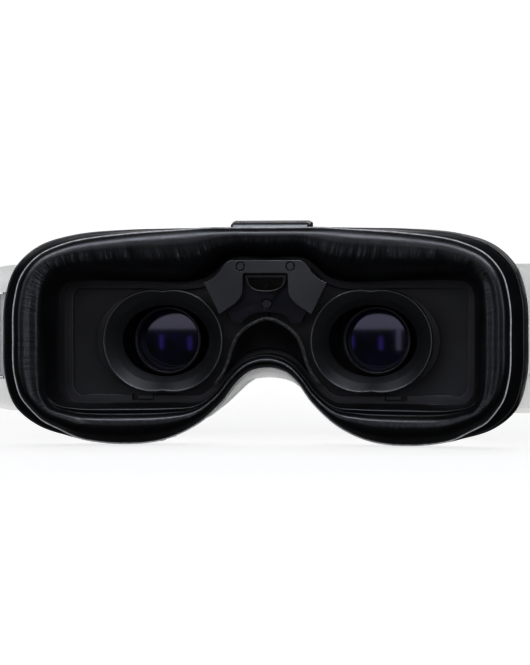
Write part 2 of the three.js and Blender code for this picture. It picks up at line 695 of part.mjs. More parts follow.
const FRONT_STAGES = [
  [SPLIT_DEPTH + CLEAR, SHELL_INSET],
  [FRONT_DEPTH - 16, SHELL_INSET + 0.3],
  [FRONT_DEPTH - 8, SHELL_INSET + 1.6],
  [FRONT_DEPTH - 1, SHELL_INSET + 5.2],
  [FRONT_DEPTH, SHELL_INSET + 6.8],
];
const TOP_AT_BUTTONS = H - SHELL_INSET - 0.3;
const BUTTONS = [
  ["power_button", -39],
  ["menu_button", -27],
  ["channel_down_button", 27],
  ["channel_up_button", 39],
];
const PORTS = [
  ["dc_jack", EYE_HEIGHT - 4.5, 3.6, 2.3],
  ["av_jack", EYE_HEIGHT + 4.7, 2.7, 1.75],
];

function frontShell() {
  const body = shellLoft(FRONT_STAGES, 1);
  const room = [
    [SPLIT_DEPTH - 1, SHELL_INSET + WALL],
    [FRONT_DEPTH - 16, SHELL_INSET + WALL + 0.3],
    [FRONT_DEPTH - WALL, SHELL_INSET + WALL + 4],
  ];
  // Ribs that hold the rails' ends, and the screw posts with their webs, end in the shell's wall.
  const back = CARRIAGE_DEPTH + CARRIAGE_THICKNESS;
  const start = SPLIT_DEPTH + CLEAR;
  const nearNose = [13.2, 16.4];
  const fittings = [];
  for (const side of [-1, 1]) {
    const span = (a, b) => [side * a, side * b].sort((p, q) => p - q);
    for (const z of [EYE_HEIGHT - RAIL_OFFSET, EYE_HEIGHT + RAIL_OFFSET]) {
      fittings.push(block(...span(RAIL_REACH - 3, W), CARRIAGE_DEPTH, back, z - 3.2, z + 3.2));
    }
    const low = EYE_HEIGHT - RAIL_OFFSET;
    fittings.push(block(...span(...nearNose), CARRIAGE_DEPTH, back, low - 2.8, low + 2.8));
    for (const z of SCREW_HEIGHTS) {
      fittings.push(rod("y", SCREW_POST, start, start + SCREW_REACH + 3, [side * SCREW_X, 0, z], 12));
      fittings.push(block(...span(SCREW_X, W), start, start + 6, z - 1.2, z + 1.2));
    }
  }
  let made = body.subtract(shellLoft(room, 1));
  for (const fitting of fittings) made = made.add(fitting.intersect(body));
  for (const side of [-1, 1]) {
    made = made.add(skid(side, FRONT_DEPTH - 10));
    const bore = [side * (nearNose[0] + 1.2), side * (RAIL_REACH + CLEAR)].sort((a, b) => a - b);
    const at = [0, RAIL_DEPTH, EYE_HEIGHT - RAIL_OFFSET];
    made = made.subtract(rod("x", RAIL_RADIUS + CLEAR, ...bore, at, 16));
  }
  const reach = RAIL_REACH + CLEAR;
  const high = [0, RAIL_DEPTH, EYE_HEIGHT + RAIL_OFFSET];
  made = made.subtract(rod("x", RAIL_RADIUS + CLEAR, -reach, reach, high, 16));
  for (const [x, z] of screwPlaces()) {
    made = made.subtract(rod("y", SCREW_SHANK + CLEAR, start - 1, start + SCREW_REACH, [x, 0, z], 10));
  }
  // Openings for the wheel, the buttons, the ports, the card and the fan.
  made = made.subtract(rod("z", WHEEL_RADIUS + 0.5, H - 8, H + 8, [0, PINION_DEPTH, 0], 40));
  for (const [, x] of BUTTONS) {
    made = made.subtract(rod("z", BUTTON_RADIUS + CLEAR, H - 8, H + 8, [x, BUTTON_DEPTH, 0], 16));
  }
  for (const [, z, nozzle] of PORTS) {
    made = made.subtract(rod("x", nozzle + CLEAR, W - 8, W + 8, [0, PORT_DEPTH, z], 24));
  }
  made = made.subtract(block(-W - 8, -W + 8, PORT_DEPTH - 6.4, PORT_DEPTH + 6.4, 26, 29));
  made = made.subtract(rod("y", FAN_RADIUS, FRONT_DEPTH - 6, FRONT_DEPTH + 2, [0, 0, FAN_HEIGHT]));
  for (const side of [-1, 1]) {
    made = made.subtract(
      rod("y", 3.4, FRONT_DEPTH - 6, FRONT_DEPTH + 2, [side * SOCKET_X, 0, SOCKET_Z], 20),
    );
    // Cooling slots in the top, between the buttons and the rounded front.
    for (let i = 0; i < 5; i++) {
      const x = side * (26 + i * 6);
      made = made.subtract(block(x - 2, x + 2, FRONT_DEPTH - 10.5, FRONT_DEPTH - 8.7, H - 8, H + 8));
    }
  }
  return made;
}
function visorPlate() {
  const y = FRONT_DEPTH + CLEAR;
  let made = slab(outer(SHELL_INSET + 9.5, 1), y, y + VISOR_THICKNESS);
  for (const side of [-1, 1]) {
    made = made.subtract(rod("y", 5.6, y - 1, y + 3, [side * SOCKET_X, 0, SOCKET_Z], 24));
  }
  for (let i = -3; i <= 3; i++) {
    const half = Math.sqrt(FAN_RADIUS ** 2 - (i * 2.6) ** 2) - 0.6;
    const x = i * 2.6;
    made = made.subtract(
      block(x - 0.8, x + 0.8, y - 1, y + 3, FAN_HEIGHT - half, FAN_HEIGHT + half),
    );
  }
  return made;
}

// The control pod stands on the housing's top: a low box with a sloping face towards the wearer.
function topModule() {
  const bottom = H - SHELL_INSET + CLEAR;
  const top = H + MODULE_HEIGHT;
  const shape = new THREE.Shape();
  shape.moveTo(34.5, bottom);
  shape.lineTo(34.5, H + 0.6);
  shape.quadraticCurveTo(34.7, H + 1.6, 36, H + 2);
  shape.lineTo(40, top);
  shape.lineTo(44, top);
  shape.quadraticCurveTo(45.6, top, SPLIT_DEPTH - 0.4, top - 1.2);
  shape.lineTo(SPLIT_DEPTH - 0.4, bottom);
  shape.closePath();
  const bevel = 0.8;
  const side = new THREE.ExtrudeGeometry(shape, {
    depth: 2 * (MODULE_HALF_WIDTH - bevel),
    bevelThickness: bevel,
    bevelSize: 0.5,
    bevelOffset: -0.5,
    bevelSegments: 1,
    curveSegments: 3,
  });
  side.translate(0, 0, -MODULE_HALF_WIDTH + bevel);
  side.rotateY(Math.PI / 2).rotateX(Math.PI / 2);
  let made = solid(side);
  for (const end of [-1, 1]) {
    for (let i = 0; i < 3; i++) {
      made = made.subtract(rod("z", 0.4, H + 1, H + 5, [end * (8.6 + i * 1.1), 37.4, 0], 10));
    }
  }
  return made;
}

// ---- Interpupillary drive ----
function ipdPinion() {
  const z0 = EYE_HEIGHT + CARRIAGE_HALF_HEIGHT + 1;
  const z1 = z0 + RACK_HEIGHT + 0.4;
  const shape = new THREE.Shape();
  const steps = PINION_TEETH;
  for (let i = 0; i < steps; i++) {
    const middle = (2 * Math.PI * i) / steps;
    const corners = [
      [PINION_RADIUS - 0.75, -0.1],
      [PINION_RADIUS + 0.4, -0.035],
      [PINION_RADIUS + 0.4, 0.035],
      [PINION_RADIUS - 0.75, 0.1],
    ];
    for (const [radius, turn] of corners) {
      const angle = middle + turn + Math.PI / 2;
      const x = radius * Math.cos(angle);
      const y = radius * Math.sin(angle);
      if (i === 0 && turn === -0.1) shape.moveTo(x, y);
      else shape.lineTo(x, y);
    }
  }
  const gear = new THREE.ExtrudeGeometry(shape, { depth: z1 - z0, bevelEnabled: false });
  const shaftTop = TOP_AT_BUTTONS + WHEEL_RISE - 1.4;
  return solid(gear.translate(0, 0, z0)).add(rod("z", SHAFT_RADIUS, z0 - 1, shaftTop, [0, 0, 0], 20));
}

function ipdWheel() {
  const z1 = TOP_AT_BUTTONS + WHEEL_RISE;
  const z0 = z1 - WHEEL_THICKNESS;
  let made = rod("z", WHEEL_RADIUS, z0, z1, [0, 0, 0], 30);
  made = made.subtract(rod("z", SHAFT_RADIUS + CLEAR, z0 - 1, z1 - 1, [0, 0, 0], 20));
  const notches = 16;
  for (let i = 0; i < notches; i++) {
    const angle = (2 * Math.PI * i) / notches;
    const x = (WHEEL_RADIUS + 0.35) * Math.cos(angle);
    const y = (WHEEL_RADIUS + 0.35) * Math.sin(angle);
    made = made.subtract(rod("z", 0.9, z0 - 1, z1 + 1, [x, y, 0], 6));
  }
  return made;
}

// ---- Fan, boards and sockets ----
function fanFrame() {
  const half = FAN_RADIUS + 1.7;
  const shape = roundedRectangle(-half, half, -half, half, 2.5);
  let made = plate(shape, 0, FAN_THICKNESS, 3);
  made = made.subtract(rod("y", FAN_RADIUS + 0.5, 1.2, FAN_THICKNESS + 1, [0, 0, 0]));
  const ring = rod("y", FAN_RADIUS - 0.6, -1, 2, [0, 0, 0]).subtract(rod("y", 4, -2, 3, [0, 0, 0], 24));
  made = made.subtract(ring);
  for (const angle of [Math.PI / 4, -Math.PI / 4]) {
    const bar = new THREE.BoxGeometry(2 * (FAN_RADIUS + 0.4), 1.2, 1.2);
    made = made.add(solid(bar.rotateY(angle).translate(0, 0.6, 0)));
  }
  return made.add(rod("y", 0.9, 0.5, 4, [0, 0, 0], 12));
}

function fanRotor() {
  const y0 = 1.8;
  const y1 = FAN_THICKNESS - 0.4;
  let made = rod("y", 3.8, y0, y1, [0, 0, 0], 24).subtract(rod("y", 1.2, y0 - 1, 4.4, [0, 0, 0], 12));
  for (let i = 0; i < FAN_BLADES; i++) {
    const blade = new THREE.BoxGeometry(FAN_RADIUS - 3.2, 0.7, 4.2);
    blade.rotateX(0.75).translate((FAN_RADIUS + 3.2) / 2, (y0 + y1) / 2, 0);
    blade.rotateY((2 * Math.PI * i) / FAN_BLADES);
    made = made.add(solid(blade));
  }
  const disc = rod("y", FAN_RADIUS, y0, y1, [0, 0, 0]);
  return made.intersect(disc);
}

function mainBoard() {
  const y = MAIN_BOARD_DEPTH;
  let made = slab(outer(SHELL_INSET + WALL + 5, 1), y, y + MAIN_BOARD_THICKNESS);
  made = made.subtract(rod("y", FAN_RADIUS, y - 1, y + 3, [0, 0, FAN_HEIGHT]));
  for (const side of [-1, 1]) {
    made = made.subtract(rod("y", 5.5, y - 1, y + 3, [side * SOCKET_X, 0, SOCKET_Z], 20));
  }
  return made;
}

function jack(nozzle, hole) {
  const half = nozzle + 0.9;
  const face = W - SHELL_INSET - 0.3;
  const back = face - 15;
  const body = block(back, face - WALL - 1.2, PORT_DEPTH - half, PORT_DEPTH + half, -half, half);
  const neck = rod("x", nozzle, face - WALL - 2, face + 0.1, [0, PORT_DEPTH, 0], 24);
  return body.add(neck).subtract(rod("x", hole, back + 3, face + 2, [0, PORT_DEPTH, 0], 20));
}

function cardReader() {
  const face = W - SHELL_INSET - 0.3;
  const body = block(-face + WALL + 1.2, -face + 16, PORT_DEPTH - 6.9, PORT_DEPTH + 6.9, 25, 30);
  return body.subtract(block(-face, -face + 14, PORT_DEPTH - 5.7, PORT_DEPTH + 5.7, 26.6, 28.2));
}

function antennaSocket() {
  const hex = new THREE.CylinderGeometry(4.6, 4.6, 1.8, 6);
  const nut = solid(hex.translate(0, FRONT_DEPTH + CLEAR + 0.9, 0));
  const thread = rod("y", 3.05, MAIN_BOARD_DEPTH + 1, FRONT_DEPTH + SOCKET_REACH, [0, 0, 0], 16);
  const bore = rod("y", 2.2, FRONT_DEPTH + 2.5, FRONT_DEPTH + SOCKET_REACH + 1, [0, 0, 0], 12);
  const contact = rod("y", 0.6, FRONT_DEPTH, FRONT_DEPTH + SOCKET_REACH - 1, [0, 0, 0], 8);
  return thread.add(nut).subtract(bore).add(contact);
}

function shellScrew(x) {
  const seat = SHELL_FRONT(x) + HEAD_DEPTH;
  const tip = SPLIT_DEPTH + SCREW_REACH - 1;
  const profile = [
    [0, seat - 2],
    [SCREW_HEAD, seat - 2],
    [SCREW_HEAD, seat - CLEAR],
    [SCREW_SHANK, seat - CLEAR],
    [SCREW_SHANK, tip],
    [0, tip],
  ];
  return turned(profile, 16);
}

function button() {
  const shelf = TOP_AT_BUTTONS - WALL - 3 * CLEAR;
  const cap = rod("z", BUTTON_RADIUS, shelf - 0.2, TOP_AT_BUTTONS + BUTTON_RISE, [0, 0, 0], 16);
  return cap.add(rod("z", BUTTON_RADIUS + 1, shelf - 1.2, shelf - 0.2, [0, 0, 0], 16));
}

// ---- Strap loop, right side, about its pin ----
function strapLoop() {
  const half = LOOP_HEIGHT / 2;
  const frame = roundedRectangle(-BARREL_RADIUS, LOOP_REACH - BARREL_RADIUS, -half, half, 3);
  const opening = roundedRectangle(BARREL_RADIUS + 0.6, LOOP_REACH - BARREL_RADIUS - LOOP_BAR, -half + LOOP_BAR, half - LOOP_BAR, 1.5);
  frame.holes.push(opening);
  const made = plate(frame, -LOOP_THICKNESS / 2, LOOP_THICKNESS / 2, 3);
  const barrel = rod("z", BARREL_RADIUS, -half, half, [0, 0, 0], 16);
  return made.add(barrel).subtract(rod("z", PIN_RADIUS + CLEAR, -half - 1, half + 1, [0, 0, 0], 12));
}

// ---- Assembly ----
function part(name, made, material, at = [0, 0, 0]) {
  const mesh = new THREE.Mesh(geometryOf(made), material);
  mesh.name = name;
  mesh.position.set(...at);
  return mesh;
}

function group(...children) {
  const made = new THREE.Group();
  made.add(...children);
  return made;
}

const f = finishes;
const gasket = group(
  part("face_cushion", faceCushion(), f.leather),
  part("cushion_frame", cushionFrame(), f.blackPlastic),
  part("nose_flap", noseFlap(), f.leather),
);
const face = group(
  part("bezel", bezel(), f.greyPlastic),
  part("center_bracket", centerBracket(), f.greyPlastic),
  part("sensor_window", sensorWindow(), f.glossyBlack),
  part("sensor_board", sensorBoard(), f.board),
  part("nose_plate", nosePlate(), f.glossyBlack),
  part(
    "nose_plug",
    rod("y", PLUG_RADIUS, NOSE_PLATE_DEPTH - 0.2, NOSE_PLATE_DEPTH + 1.3, [0, 0, 0], 20),
    f.greyPlastic,
    [0, 0, BRIDGE_TOP - 14.3],
  ),
);
const housing = group(
  part("rear_shell", rearShell(), f.whitePlastic),
  part("front_shell", frontShell(), f.whitePlastic),
  part("visor_plate", visorPlate(), f.glossyBlack),
  part("top_module", topModule(), f.greyPlastic),
);
const drive = group(
  part("ipd_pinion", ipdPinion(), f.steel, [0, PINION_DEPTH, 0]),
  part("ipd_wheel", ipdWheel(), f.greyPlastic, [0, PINION_DEPTH, 0]),
  part(
    "upper_rail",
    rod("x", RAIL_RADIUS, -RAIL_REACH, RAIL_REACH, [0, 0, 0], 16),
    f.steel,
    [0, RAIL_DEPTH, EYE_HEIGHT + RAIL_OFFSET],
  ),
);
const electronics = group(
  part("fan_frame", fanFrame(), f.blackPlastic, [0, FAN_DEPTH, FAN_HEIGHT]),
  part("fan_rotor", fanRotor(), f.blackPlastic, [0, FAN_DEPTH, FAN_HEIGHT]),
  part("main_board", mainBoard(), f.board),
  part(
    "receiver_module",
    block(22, 46, MAIN_BOARD_DEPTH + MAIN_BOARD_THICKNESS + CLEAR, FRONT_DEPTH - WALL - 0.6, 22, 40),
    f.steel,
  ),
  part("card_reader", cardReader(), f.steel),
);
for (const [name, z, nozzle, hole] of PORTS) {
  electronics.add(part(name, jack(nozzle, hole), f.blackPlastic, [0, 0, z]));
}
for (const [name, x] of BUTTONS) {
  electronics.add(part(name, button(), f.greyPlastic, [x, BUTTON_DEPTH, 0]));
}

// Each side is built for the right and mirrored for the left.
function sideGroup(name, side) {
  const eye = [EYE_SPACING / 2, 0, EYE_HEIGHT];
  const back = CARRIAGE_DEPTH + CARRIAGE_THICKNESS + 0.5;
  const [dx, dy, dz] = DISPLAY_SIZE;
  const [bx, by, bz] = BOARD_SIZE;
  const lensBack = LENS_DEPTH + LENS_THICKNESS;
  const made = group(
    part(`eye_panel_${name}`, eyePanel(), f.greyPlastic),
    part(`eye_dish_${name}`, dish(), f.blackPlastic, [DISH_X, 0, EYE_HEIGHT]),
    part(`eyepiece_${name}`, eyepiece(side), f.blackPlastic, eye),
    part(`lens_ring_${name}`, lensRing(), f.greyPlastic, eye),
    part(`eye_lens_${name}`, lens(LENS_RADIUS - 0.1, LENS_DEPTH, lensBack, 1.8, 1.2), f.glass, eye),
    part(
      `field_lens_${name}`,
      lens(FIELD_RADIUS, CARRIAGE_DEPTH + 1.5, CARRIAGE_DEPTH + 4.5, 0.6, 0.6),
      f.glass,
      eye,
    ),
    part(`display_${name}`, block(-dx / 2, dx / 2, back, back + dy, -dz / 2, dz / 2), f.glossyBlack, eye),
    part(
      `display_board_${name}`,
      block(-bx / 2, bx / 2, back + dy + CLEAR, back + dy + CLEAR + by, -bz / 2, bz / 2),
      f.board,
      eye,
    ),
    part(`lower_rail_${name}`, rod("x", RAIL_RADIUS, 14.8, RAIL_REACH, [0, 0, 0], 16), f.steel, [
      0,
      RAIL_DEPTH,
      EYE_HEIGHT - RAIL_OFFSET,
    ]),
    part(
      `bracket_plug_${name}`,
      rod("y", PLUG_RADIUS - CLEAR, BRACKET_DEPTH - 0.2, BRACKET_DEPTH + 1.3, [0, 0, 0], 20),
      f.blackPlastic,
      [7.7, 0, BRIDGE_TOP - 3 * CLEAR - 1.9],
    ),
    part(`insert_latch_${name}`, insertLatch(), f.softGrey),
    part(`antenna_socket_${name}`, antennaSocket(), f.brass, [SOCKET_X, 0, SOCKET_Z]),
    part(`strap_loop_${name}`, strapLoop(), f.softGrey, [HINGE_X, HINGE_DEPTH, LOOP_Z]),
    part(
      `strap_pin_${name}`,
      rod("z", PIN_RADIUS, -LOOP_HEIGHT / 2 - 4, LOOP_HEIGHT / 2 + 4, [0, 0, 0], 16),
      f.steel,
      [HINGE_X, HINGE_DEPTH, LOOP_Z],
    ),
    part(`shell_screw_lower_${name}`, shellScrew(SCREW_X), f.steel, [SCREW_X, 0, SCREW_HEIGHTS[0]]),
    part(`shell_screw_upper_${name}`, shellScrew(SCREW_X), f.steel, [SCREW_X, 0, SCREW_HEIGHTS[1]]),
  );
  made.scale.x = side;
  return made;
}

const goggles = group(
  gasket,
  face,
  housing,
  drive,
  electronics,
  sideGroup("right", 1),
  sideGroup("left", -1),
);
// The origin lies midway between the cushion's crest at the temples and the antenna sockets' ends.
const extent = new THREE.Box3().setFromObject(goggles);
goggles.position.y = -(extent.min.y + extent.max.y) / 2;

export default group(goggles);
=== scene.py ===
"""Video goggles: leather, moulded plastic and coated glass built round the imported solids.

Lengths are millimetres in the goggles' own frame, and become metres only where a mesh is made.
X is the wearer's right, the wearer looks along +Y, and Z is up. A depth counts along Y from the
cushion's edge at the temples.
"""

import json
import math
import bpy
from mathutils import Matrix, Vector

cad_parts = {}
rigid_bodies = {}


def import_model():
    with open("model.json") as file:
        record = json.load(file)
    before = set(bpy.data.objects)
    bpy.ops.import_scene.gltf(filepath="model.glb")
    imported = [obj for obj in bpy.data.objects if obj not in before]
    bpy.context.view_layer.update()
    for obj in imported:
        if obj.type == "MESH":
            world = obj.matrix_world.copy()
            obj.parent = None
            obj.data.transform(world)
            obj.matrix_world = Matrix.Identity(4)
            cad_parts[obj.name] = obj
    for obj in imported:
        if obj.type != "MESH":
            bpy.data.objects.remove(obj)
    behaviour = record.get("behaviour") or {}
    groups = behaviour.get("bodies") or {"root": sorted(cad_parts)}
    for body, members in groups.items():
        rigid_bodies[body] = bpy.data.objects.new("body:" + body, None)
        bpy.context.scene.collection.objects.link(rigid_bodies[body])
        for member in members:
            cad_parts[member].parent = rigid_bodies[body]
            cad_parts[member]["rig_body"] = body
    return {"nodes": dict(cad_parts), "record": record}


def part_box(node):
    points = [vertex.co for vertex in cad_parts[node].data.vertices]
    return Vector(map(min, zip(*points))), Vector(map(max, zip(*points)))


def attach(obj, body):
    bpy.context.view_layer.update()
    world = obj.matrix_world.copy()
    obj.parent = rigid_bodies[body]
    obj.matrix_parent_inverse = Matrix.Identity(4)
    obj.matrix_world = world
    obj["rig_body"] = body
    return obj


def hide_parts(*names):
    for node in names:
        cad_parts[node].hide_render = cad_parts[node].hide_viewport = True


bl_info = {
    "name": "Video Goggles Finish",
    "version": (1, 0, 0),
    "blender": (4, 5, 0),
    "location": "View3D > Sidebar > Goggles",
    "description": "Leather gasket, sliding eyepieces, moulded housing and studio of a pair of video goggles",
    "category": "Add Mesh",
}

import bmesh
import bpy
import numpy as np
from bpy.props import FloatProperty, FloatVectorProperty, IntProperty, PointerProperty
from bpy.types import Operator, Panel, PropertyGroup
from mathutils import Vector

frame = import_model()
NODES = frame["nodes"]
BODY_OF = {node: body for body, nodes in frame["record"]["behaviour"]["bodies"].items() for node in nodes}
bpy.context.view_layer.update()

MM = 0.001
SOCKET_END = 82.0  # depth of the antenna sockets' ends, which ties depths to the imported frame
DEPTH_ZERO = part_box("antenna_socket_right")[1].y / MM - SOCKET_END

# ---- Sizes that the solids already have ----
HALF_WIDTH = 80.5
HEIGHT = 66.5
EYE_HEIGHT = 31.7
EYE_X = 33.0
DISH_X = 32.3
WINDOW_X = HALF_WIDTH - 16.5
WINDOW_TOP = HEIGHT - 16.2
BRIDGE_TOP = HEIGHT - 9.1
CHEEK = 12.6
FRAME_FRONT = 0.3  # cushion frame's face behind the cushion's back
LEDGE_DEPTH = 31.3
PANEL_BACK = 35.3
DISH_DEPTH = 25.0
DISH_FLOOR = 31.0
DISH_BACK = 37.4
RIM_WIDE = 18.9  # half width and half height of a dish's rim
RIM_HIGH = 15.95
LENS_EDGE = 44.2
WELT_POINT = 4  # the section's point on the side band where the welt runs
WELT_RADIUS = 0.22

# Stations round the right half of the gasket: outer x, outer z, window x, window z.
SIDE = [
    (0, HEIGHT, 0, BRIDGE_TOP),
    (11, HEIGHT, 11.2, BRIDGE_TOP),
    (24, HEIGHT, 20.5, WINDOW_TOP + 0.6),
    (HALF_WIDTH - 38, HEIGHT - 0.2, HALF_WIDTH - 39.5, WINDOW_TOP),
    (HALF_WIDTH - 21.5, HEIGHT - 1.7, HALF_WIDTH - 23.5, WINDOW_TOP),
    (HALF_WIDTH - 10.5, HEIGHT - 5.3, WINDOW_X - 2.4, WINDOW_TOP - 0.7),
    (HALF_WIDTH - 3.6, HEIGHT - 12, WINDOW_X - 0.4, WINDOW_TOP - 3.6),
    (HALF_WIDTH - 0.5, HEIGHT - 21.5, WINDOW_X, HEIGHT - 25.6),
    (HALF_WIDTH, HEIGHT - 33, WINDOW_X, HEIGHT - 35),
    (HALF_WIDTH - 0.4, 21, WINDOW_X, 22),
    (HALF_WIDTH - 3.4, 11.6, WINDOW_X - 0.4, CHEEK + 3.6),
    (HALF_WIDTH - 10.5, 5.4, WINDOW_X - 2.6, CHEEK + 0.6),
    (HALF_WIDTH - 22, 1.8, HALF_WIDTH - 24, CHEEK),
    (HALF_WIDTH - 37, 0.1, HALF_WIDTH - 37.5, CHEEK),
    (32, 1.3, 29, CHEEK),
    (22, 5.8, 21, 12.9),
    (14.2, 12.6, 15.8, 16.4),
    (9.8, 18.4, 12.1, 21),
    (6.2, 21.7, 8.4, 25),
    (3, 23, 4.4, 27.2),
    (0, 23.3, 0, 28),
]


# ---- Shapes ----
def base_depth(x):
    """Depth of the cushion's back: a parabola, deepest at the nose."""
    return 16 + 14 * (1 - (x / HALF_WIDTH) ** 2)


def rim_depth(x, z):
    """Depth of the cushion's crest: a parabola across the face, and a second, narrow one above the nose."""
    across = np.minimum(1, np.abs(x) / HALF_WIDTH)
    nose = np.where(z < EYE_HEIGHT, np.maximum(0, 1 - (x / 24) ** 2), 0)
    return 20 * (1 - across**2) + 4.5 * nose


def closed_curve(points, steps):
    """Closed centripetal Catmull-Rom curve: between two stations a cubic whose end slopes come from the
    neighbouring chords, each divided by the square root of its own length."""
    p1 = np.asarray(points, float)
    p0, p2, p3 = np.roll(p1, 1, axis=0), np.roll(p1, -1, axis=0), np.roll(p1, -2, axis=0)
    gap = lambda a, b: np.maximum(np.linalg.norm(a - b, axis=1, keepdims=True), 1e-9) ** 0.5
    d0, d1, d2 = gap(p0, p1), gap(p1, p2), gap(p2, p3)
    start = ((p1 - p0) / d0 - (p2 - p0) / (d0 + d1) + (p2 - p1) / d1) * d1
    end = ((p2 - p1) / d1 - (p3 - p1) / (d1 + d2) + (p3 - p2) / d2) * d1
    square = -3 * p1 + 3 * p2 - 2 * start - end
    cube = 2 * p1 - 2 * p2 + start + end
    place = np.arange(steps) / steps * len(p1)
    i = place.astype(int)
    t = (place - i)[:, None]
    return p1[i] + start[i] * t + square[i] * t**2 + cube[i] * t**3


def outlines(steps, outset=0.0):
    """The gasket's outer outline, and the window's outline moved outwards by a distance towards it."""
    right = np.array(SIDE, float)
    left = right[1:-1][::-1] * [-1, 1, -1, 1]
    stations = np.concatenate([right, left])
    outer, inner = stations[:, :2], stations[:, 2:]
    length = np.linalg.norm(outer - inner, axis=1, keepdims=True)
    return closed_curve(outer, steps), closed_curve(inner + (outer - inner) * outset / length, steps)


def outward(curve):
    """Unit normals of a closed outline that runs clockwise, pointing away from its middle."""
    along = np.roll(curve, -1, axis=0) - np.roll(curve, 1, axis=0)
    along /= np.linalg.norm(along, axis=1, keepdims=True)
    return np.stack([-along[:, 1], along[:, 0]], axis=1)


def filleted(points, radius, steps=4):
    """A closed profile with each corner replaced by a quadratic arc that starts and ends a radius away."""
    p = np.asarray(points, float)
    before, after = np.roll(p, 1, axis=0) - p, np.roll(p, -1, axis=0) - p
    cut = []
    for edge in (before, after):
        length = np.linalg.norm(edge, axis=1, keepdims=True)
        cut.append(p + edge / length * np.minimum(radius, length * 0.48))
    t = np.linspace(0, 1, steps + 1)[None, :, None]
    arcs = (1 - t) ** 2 * cut[0][:, None] + 2 * t * (1 - t) * p[:, None] + t**2 * cut[1][:, None]
    return arcs.reshape(-1, p.shape[1])


def smooth(values, passes=2):
    """Each value averaged with its neighbours, the ends kept."""
    for _ in range(passes):
        inner = (values[:-2] + 2 * values[1:-1] + values[2:]) / 4
        values = np.concatenate([values[:1], inner, values[-1:]])
    return values


def waves(length, count, seed, lowest, highest):
    """A smooth closed random line: a sum of whole waves round the ring with random sizes and phases."""
    rng = np.random.default_rng(seed)
    turns = rng.integers(lowest, highest, count)
    size, phase = rng.uniform(0.3, 1, count), rng.uniform(0, 2 * np.pi, count)
    at = np.arange(length)[:, None] / length * 2 * np.pi
    made = (size * np.cos(at * turns + phase)).sum(axis=1)
    return made / np.abs(made).max()


# ---- Meshes ----
def mesh_object(name, points, faces, finish, body, flat=False):
    """One object at the origin from points in millimetres, wound so that its volume is positive. An
    open, flat one keeps its own winding."""
    points = np.asarray(points, float).copy()
    points[:, 1] += DEPTH_ZERO
    faces = [list(face) for face in faces]
    a, b, c = (points[[face[k] for face in faces]] for k in (0, 1, 2))
    volume = (a * np.cross(b, c)).sum()
    quads = [k for k, face in enumerate(faces) if len(face) > 3]
    a, b, c = (points[[faces[k][j] for k in quads]] for j in (0, 2, 3)) if quads else (np.zeros((1, 3)),) * 3
    volume += (a * np.cross(b, c)).sum()
    if volume < 0 and not flat:
        faces = [face[::-1] for face in faces]
    mesh = bpy.data.meshes.new(name)
    mesh.from_pydata((points * MM).tolist(), [], faces)
    mesh.polygons.foreach_set("use_smooth", [True] * len(faces))
    mesh.materials.append(finish)
    mesh.validate()
    made = bpy.data.objects.new(name, mesh)
    bpy.context.scene.collection.objects.link(made)
    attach(made, body)
    return made


def ring_faces(rows, columns, close_rows=True):
    """Quads of a grid that closes along its columns, and along its rows too unless it says otherwise."""
    last = rows if close_rows else rows - 1
    i, j = np.meshgrid(np.arange(last), np.arange(columns), indexing="ij")
    i2, j2 = (i + 1) % rows, (j + 1) % columns
    quads = np.stack([i * columns + j, i2 * columns + j, i2 * columns + j2, i * columns + j2], axis=-1)
    return quads.reshape(-1, 4)


def carried(name, positions, finish, body):
    """A closed section carried round a closed path: positions is path steps by section steps by 3."""
    rows, columns = positions.shape[:2]
    return mesh_object(name, positions.reshape(-1, 3), ring_faces(rows, columns), finish, body)


def tube(name, path, radius, finish, body, sides=8):
    """A round bead along a closed path: a circle in the plane across the path at each of its points."""
    along = np.roll(path, -1, axis=0) - np.roll(path, 1, axis=0)
    along /= np.linalg.norm(along, axis=1, keepdims=True)
    across = np.cross(along, [0, 1, 0])
    across /= np.maximum(np.linalg.norm(across, axis=1, keepdims=True), 1e-9)
    third = np.cross(along, across)
    turn = np.linspace(0, 2 * np.pi, sides, endpoint=False)
    ring = across[:, None] * np.cos(turn)[None, :, None] + third[:, None] * np.sin(turn)[None, :, None]
    return carried(name, path[:, None] + ring * radius, finish, body)


def turned(name, profile, centre, finish, body, steps=96):
    """A profile of radius and depth turned about the depth axis. A point with no radius is one pole."""
    profile = np.asarray(profile, float)
    turn = np.linspace(0, 2 * np.pi, steps, endpoint=False)
    open_ends = profile[0, 0] < 1e-6
    body_rows = profile[1:-1] if open_ends else profile
    x = centre[0] + body_rows[:, :1] * np.cos(turn)
    z = centre[1] + body_rows[:, :1] * np.sin(turn)
    y = np.repeat(body_rows[:, 1:2], steps, axis=1)
    points = np.stack([x, y, z], axis=-1).reshape(-1, 3)
    faces = ring_faces(len(body_rows), steps, close_rows=not open_ends).tolist()
    if open_ends:
        poles = [[centre[0], profile[0, 1], centre[1]], [centre[0], profile[-1, 1], centre[1]]]
        points = np.concatenate([points, poles])
        first, last = len(points) - 2, (len(body_rows) - 1) * steps
        for k in range(steps):
            faces.append([first, k, (k + 1) % steps])
            faces.append([first + 1, last + (k + 1) % steps, last + k])
    return mesh_object(name, points, faces, finish, body)


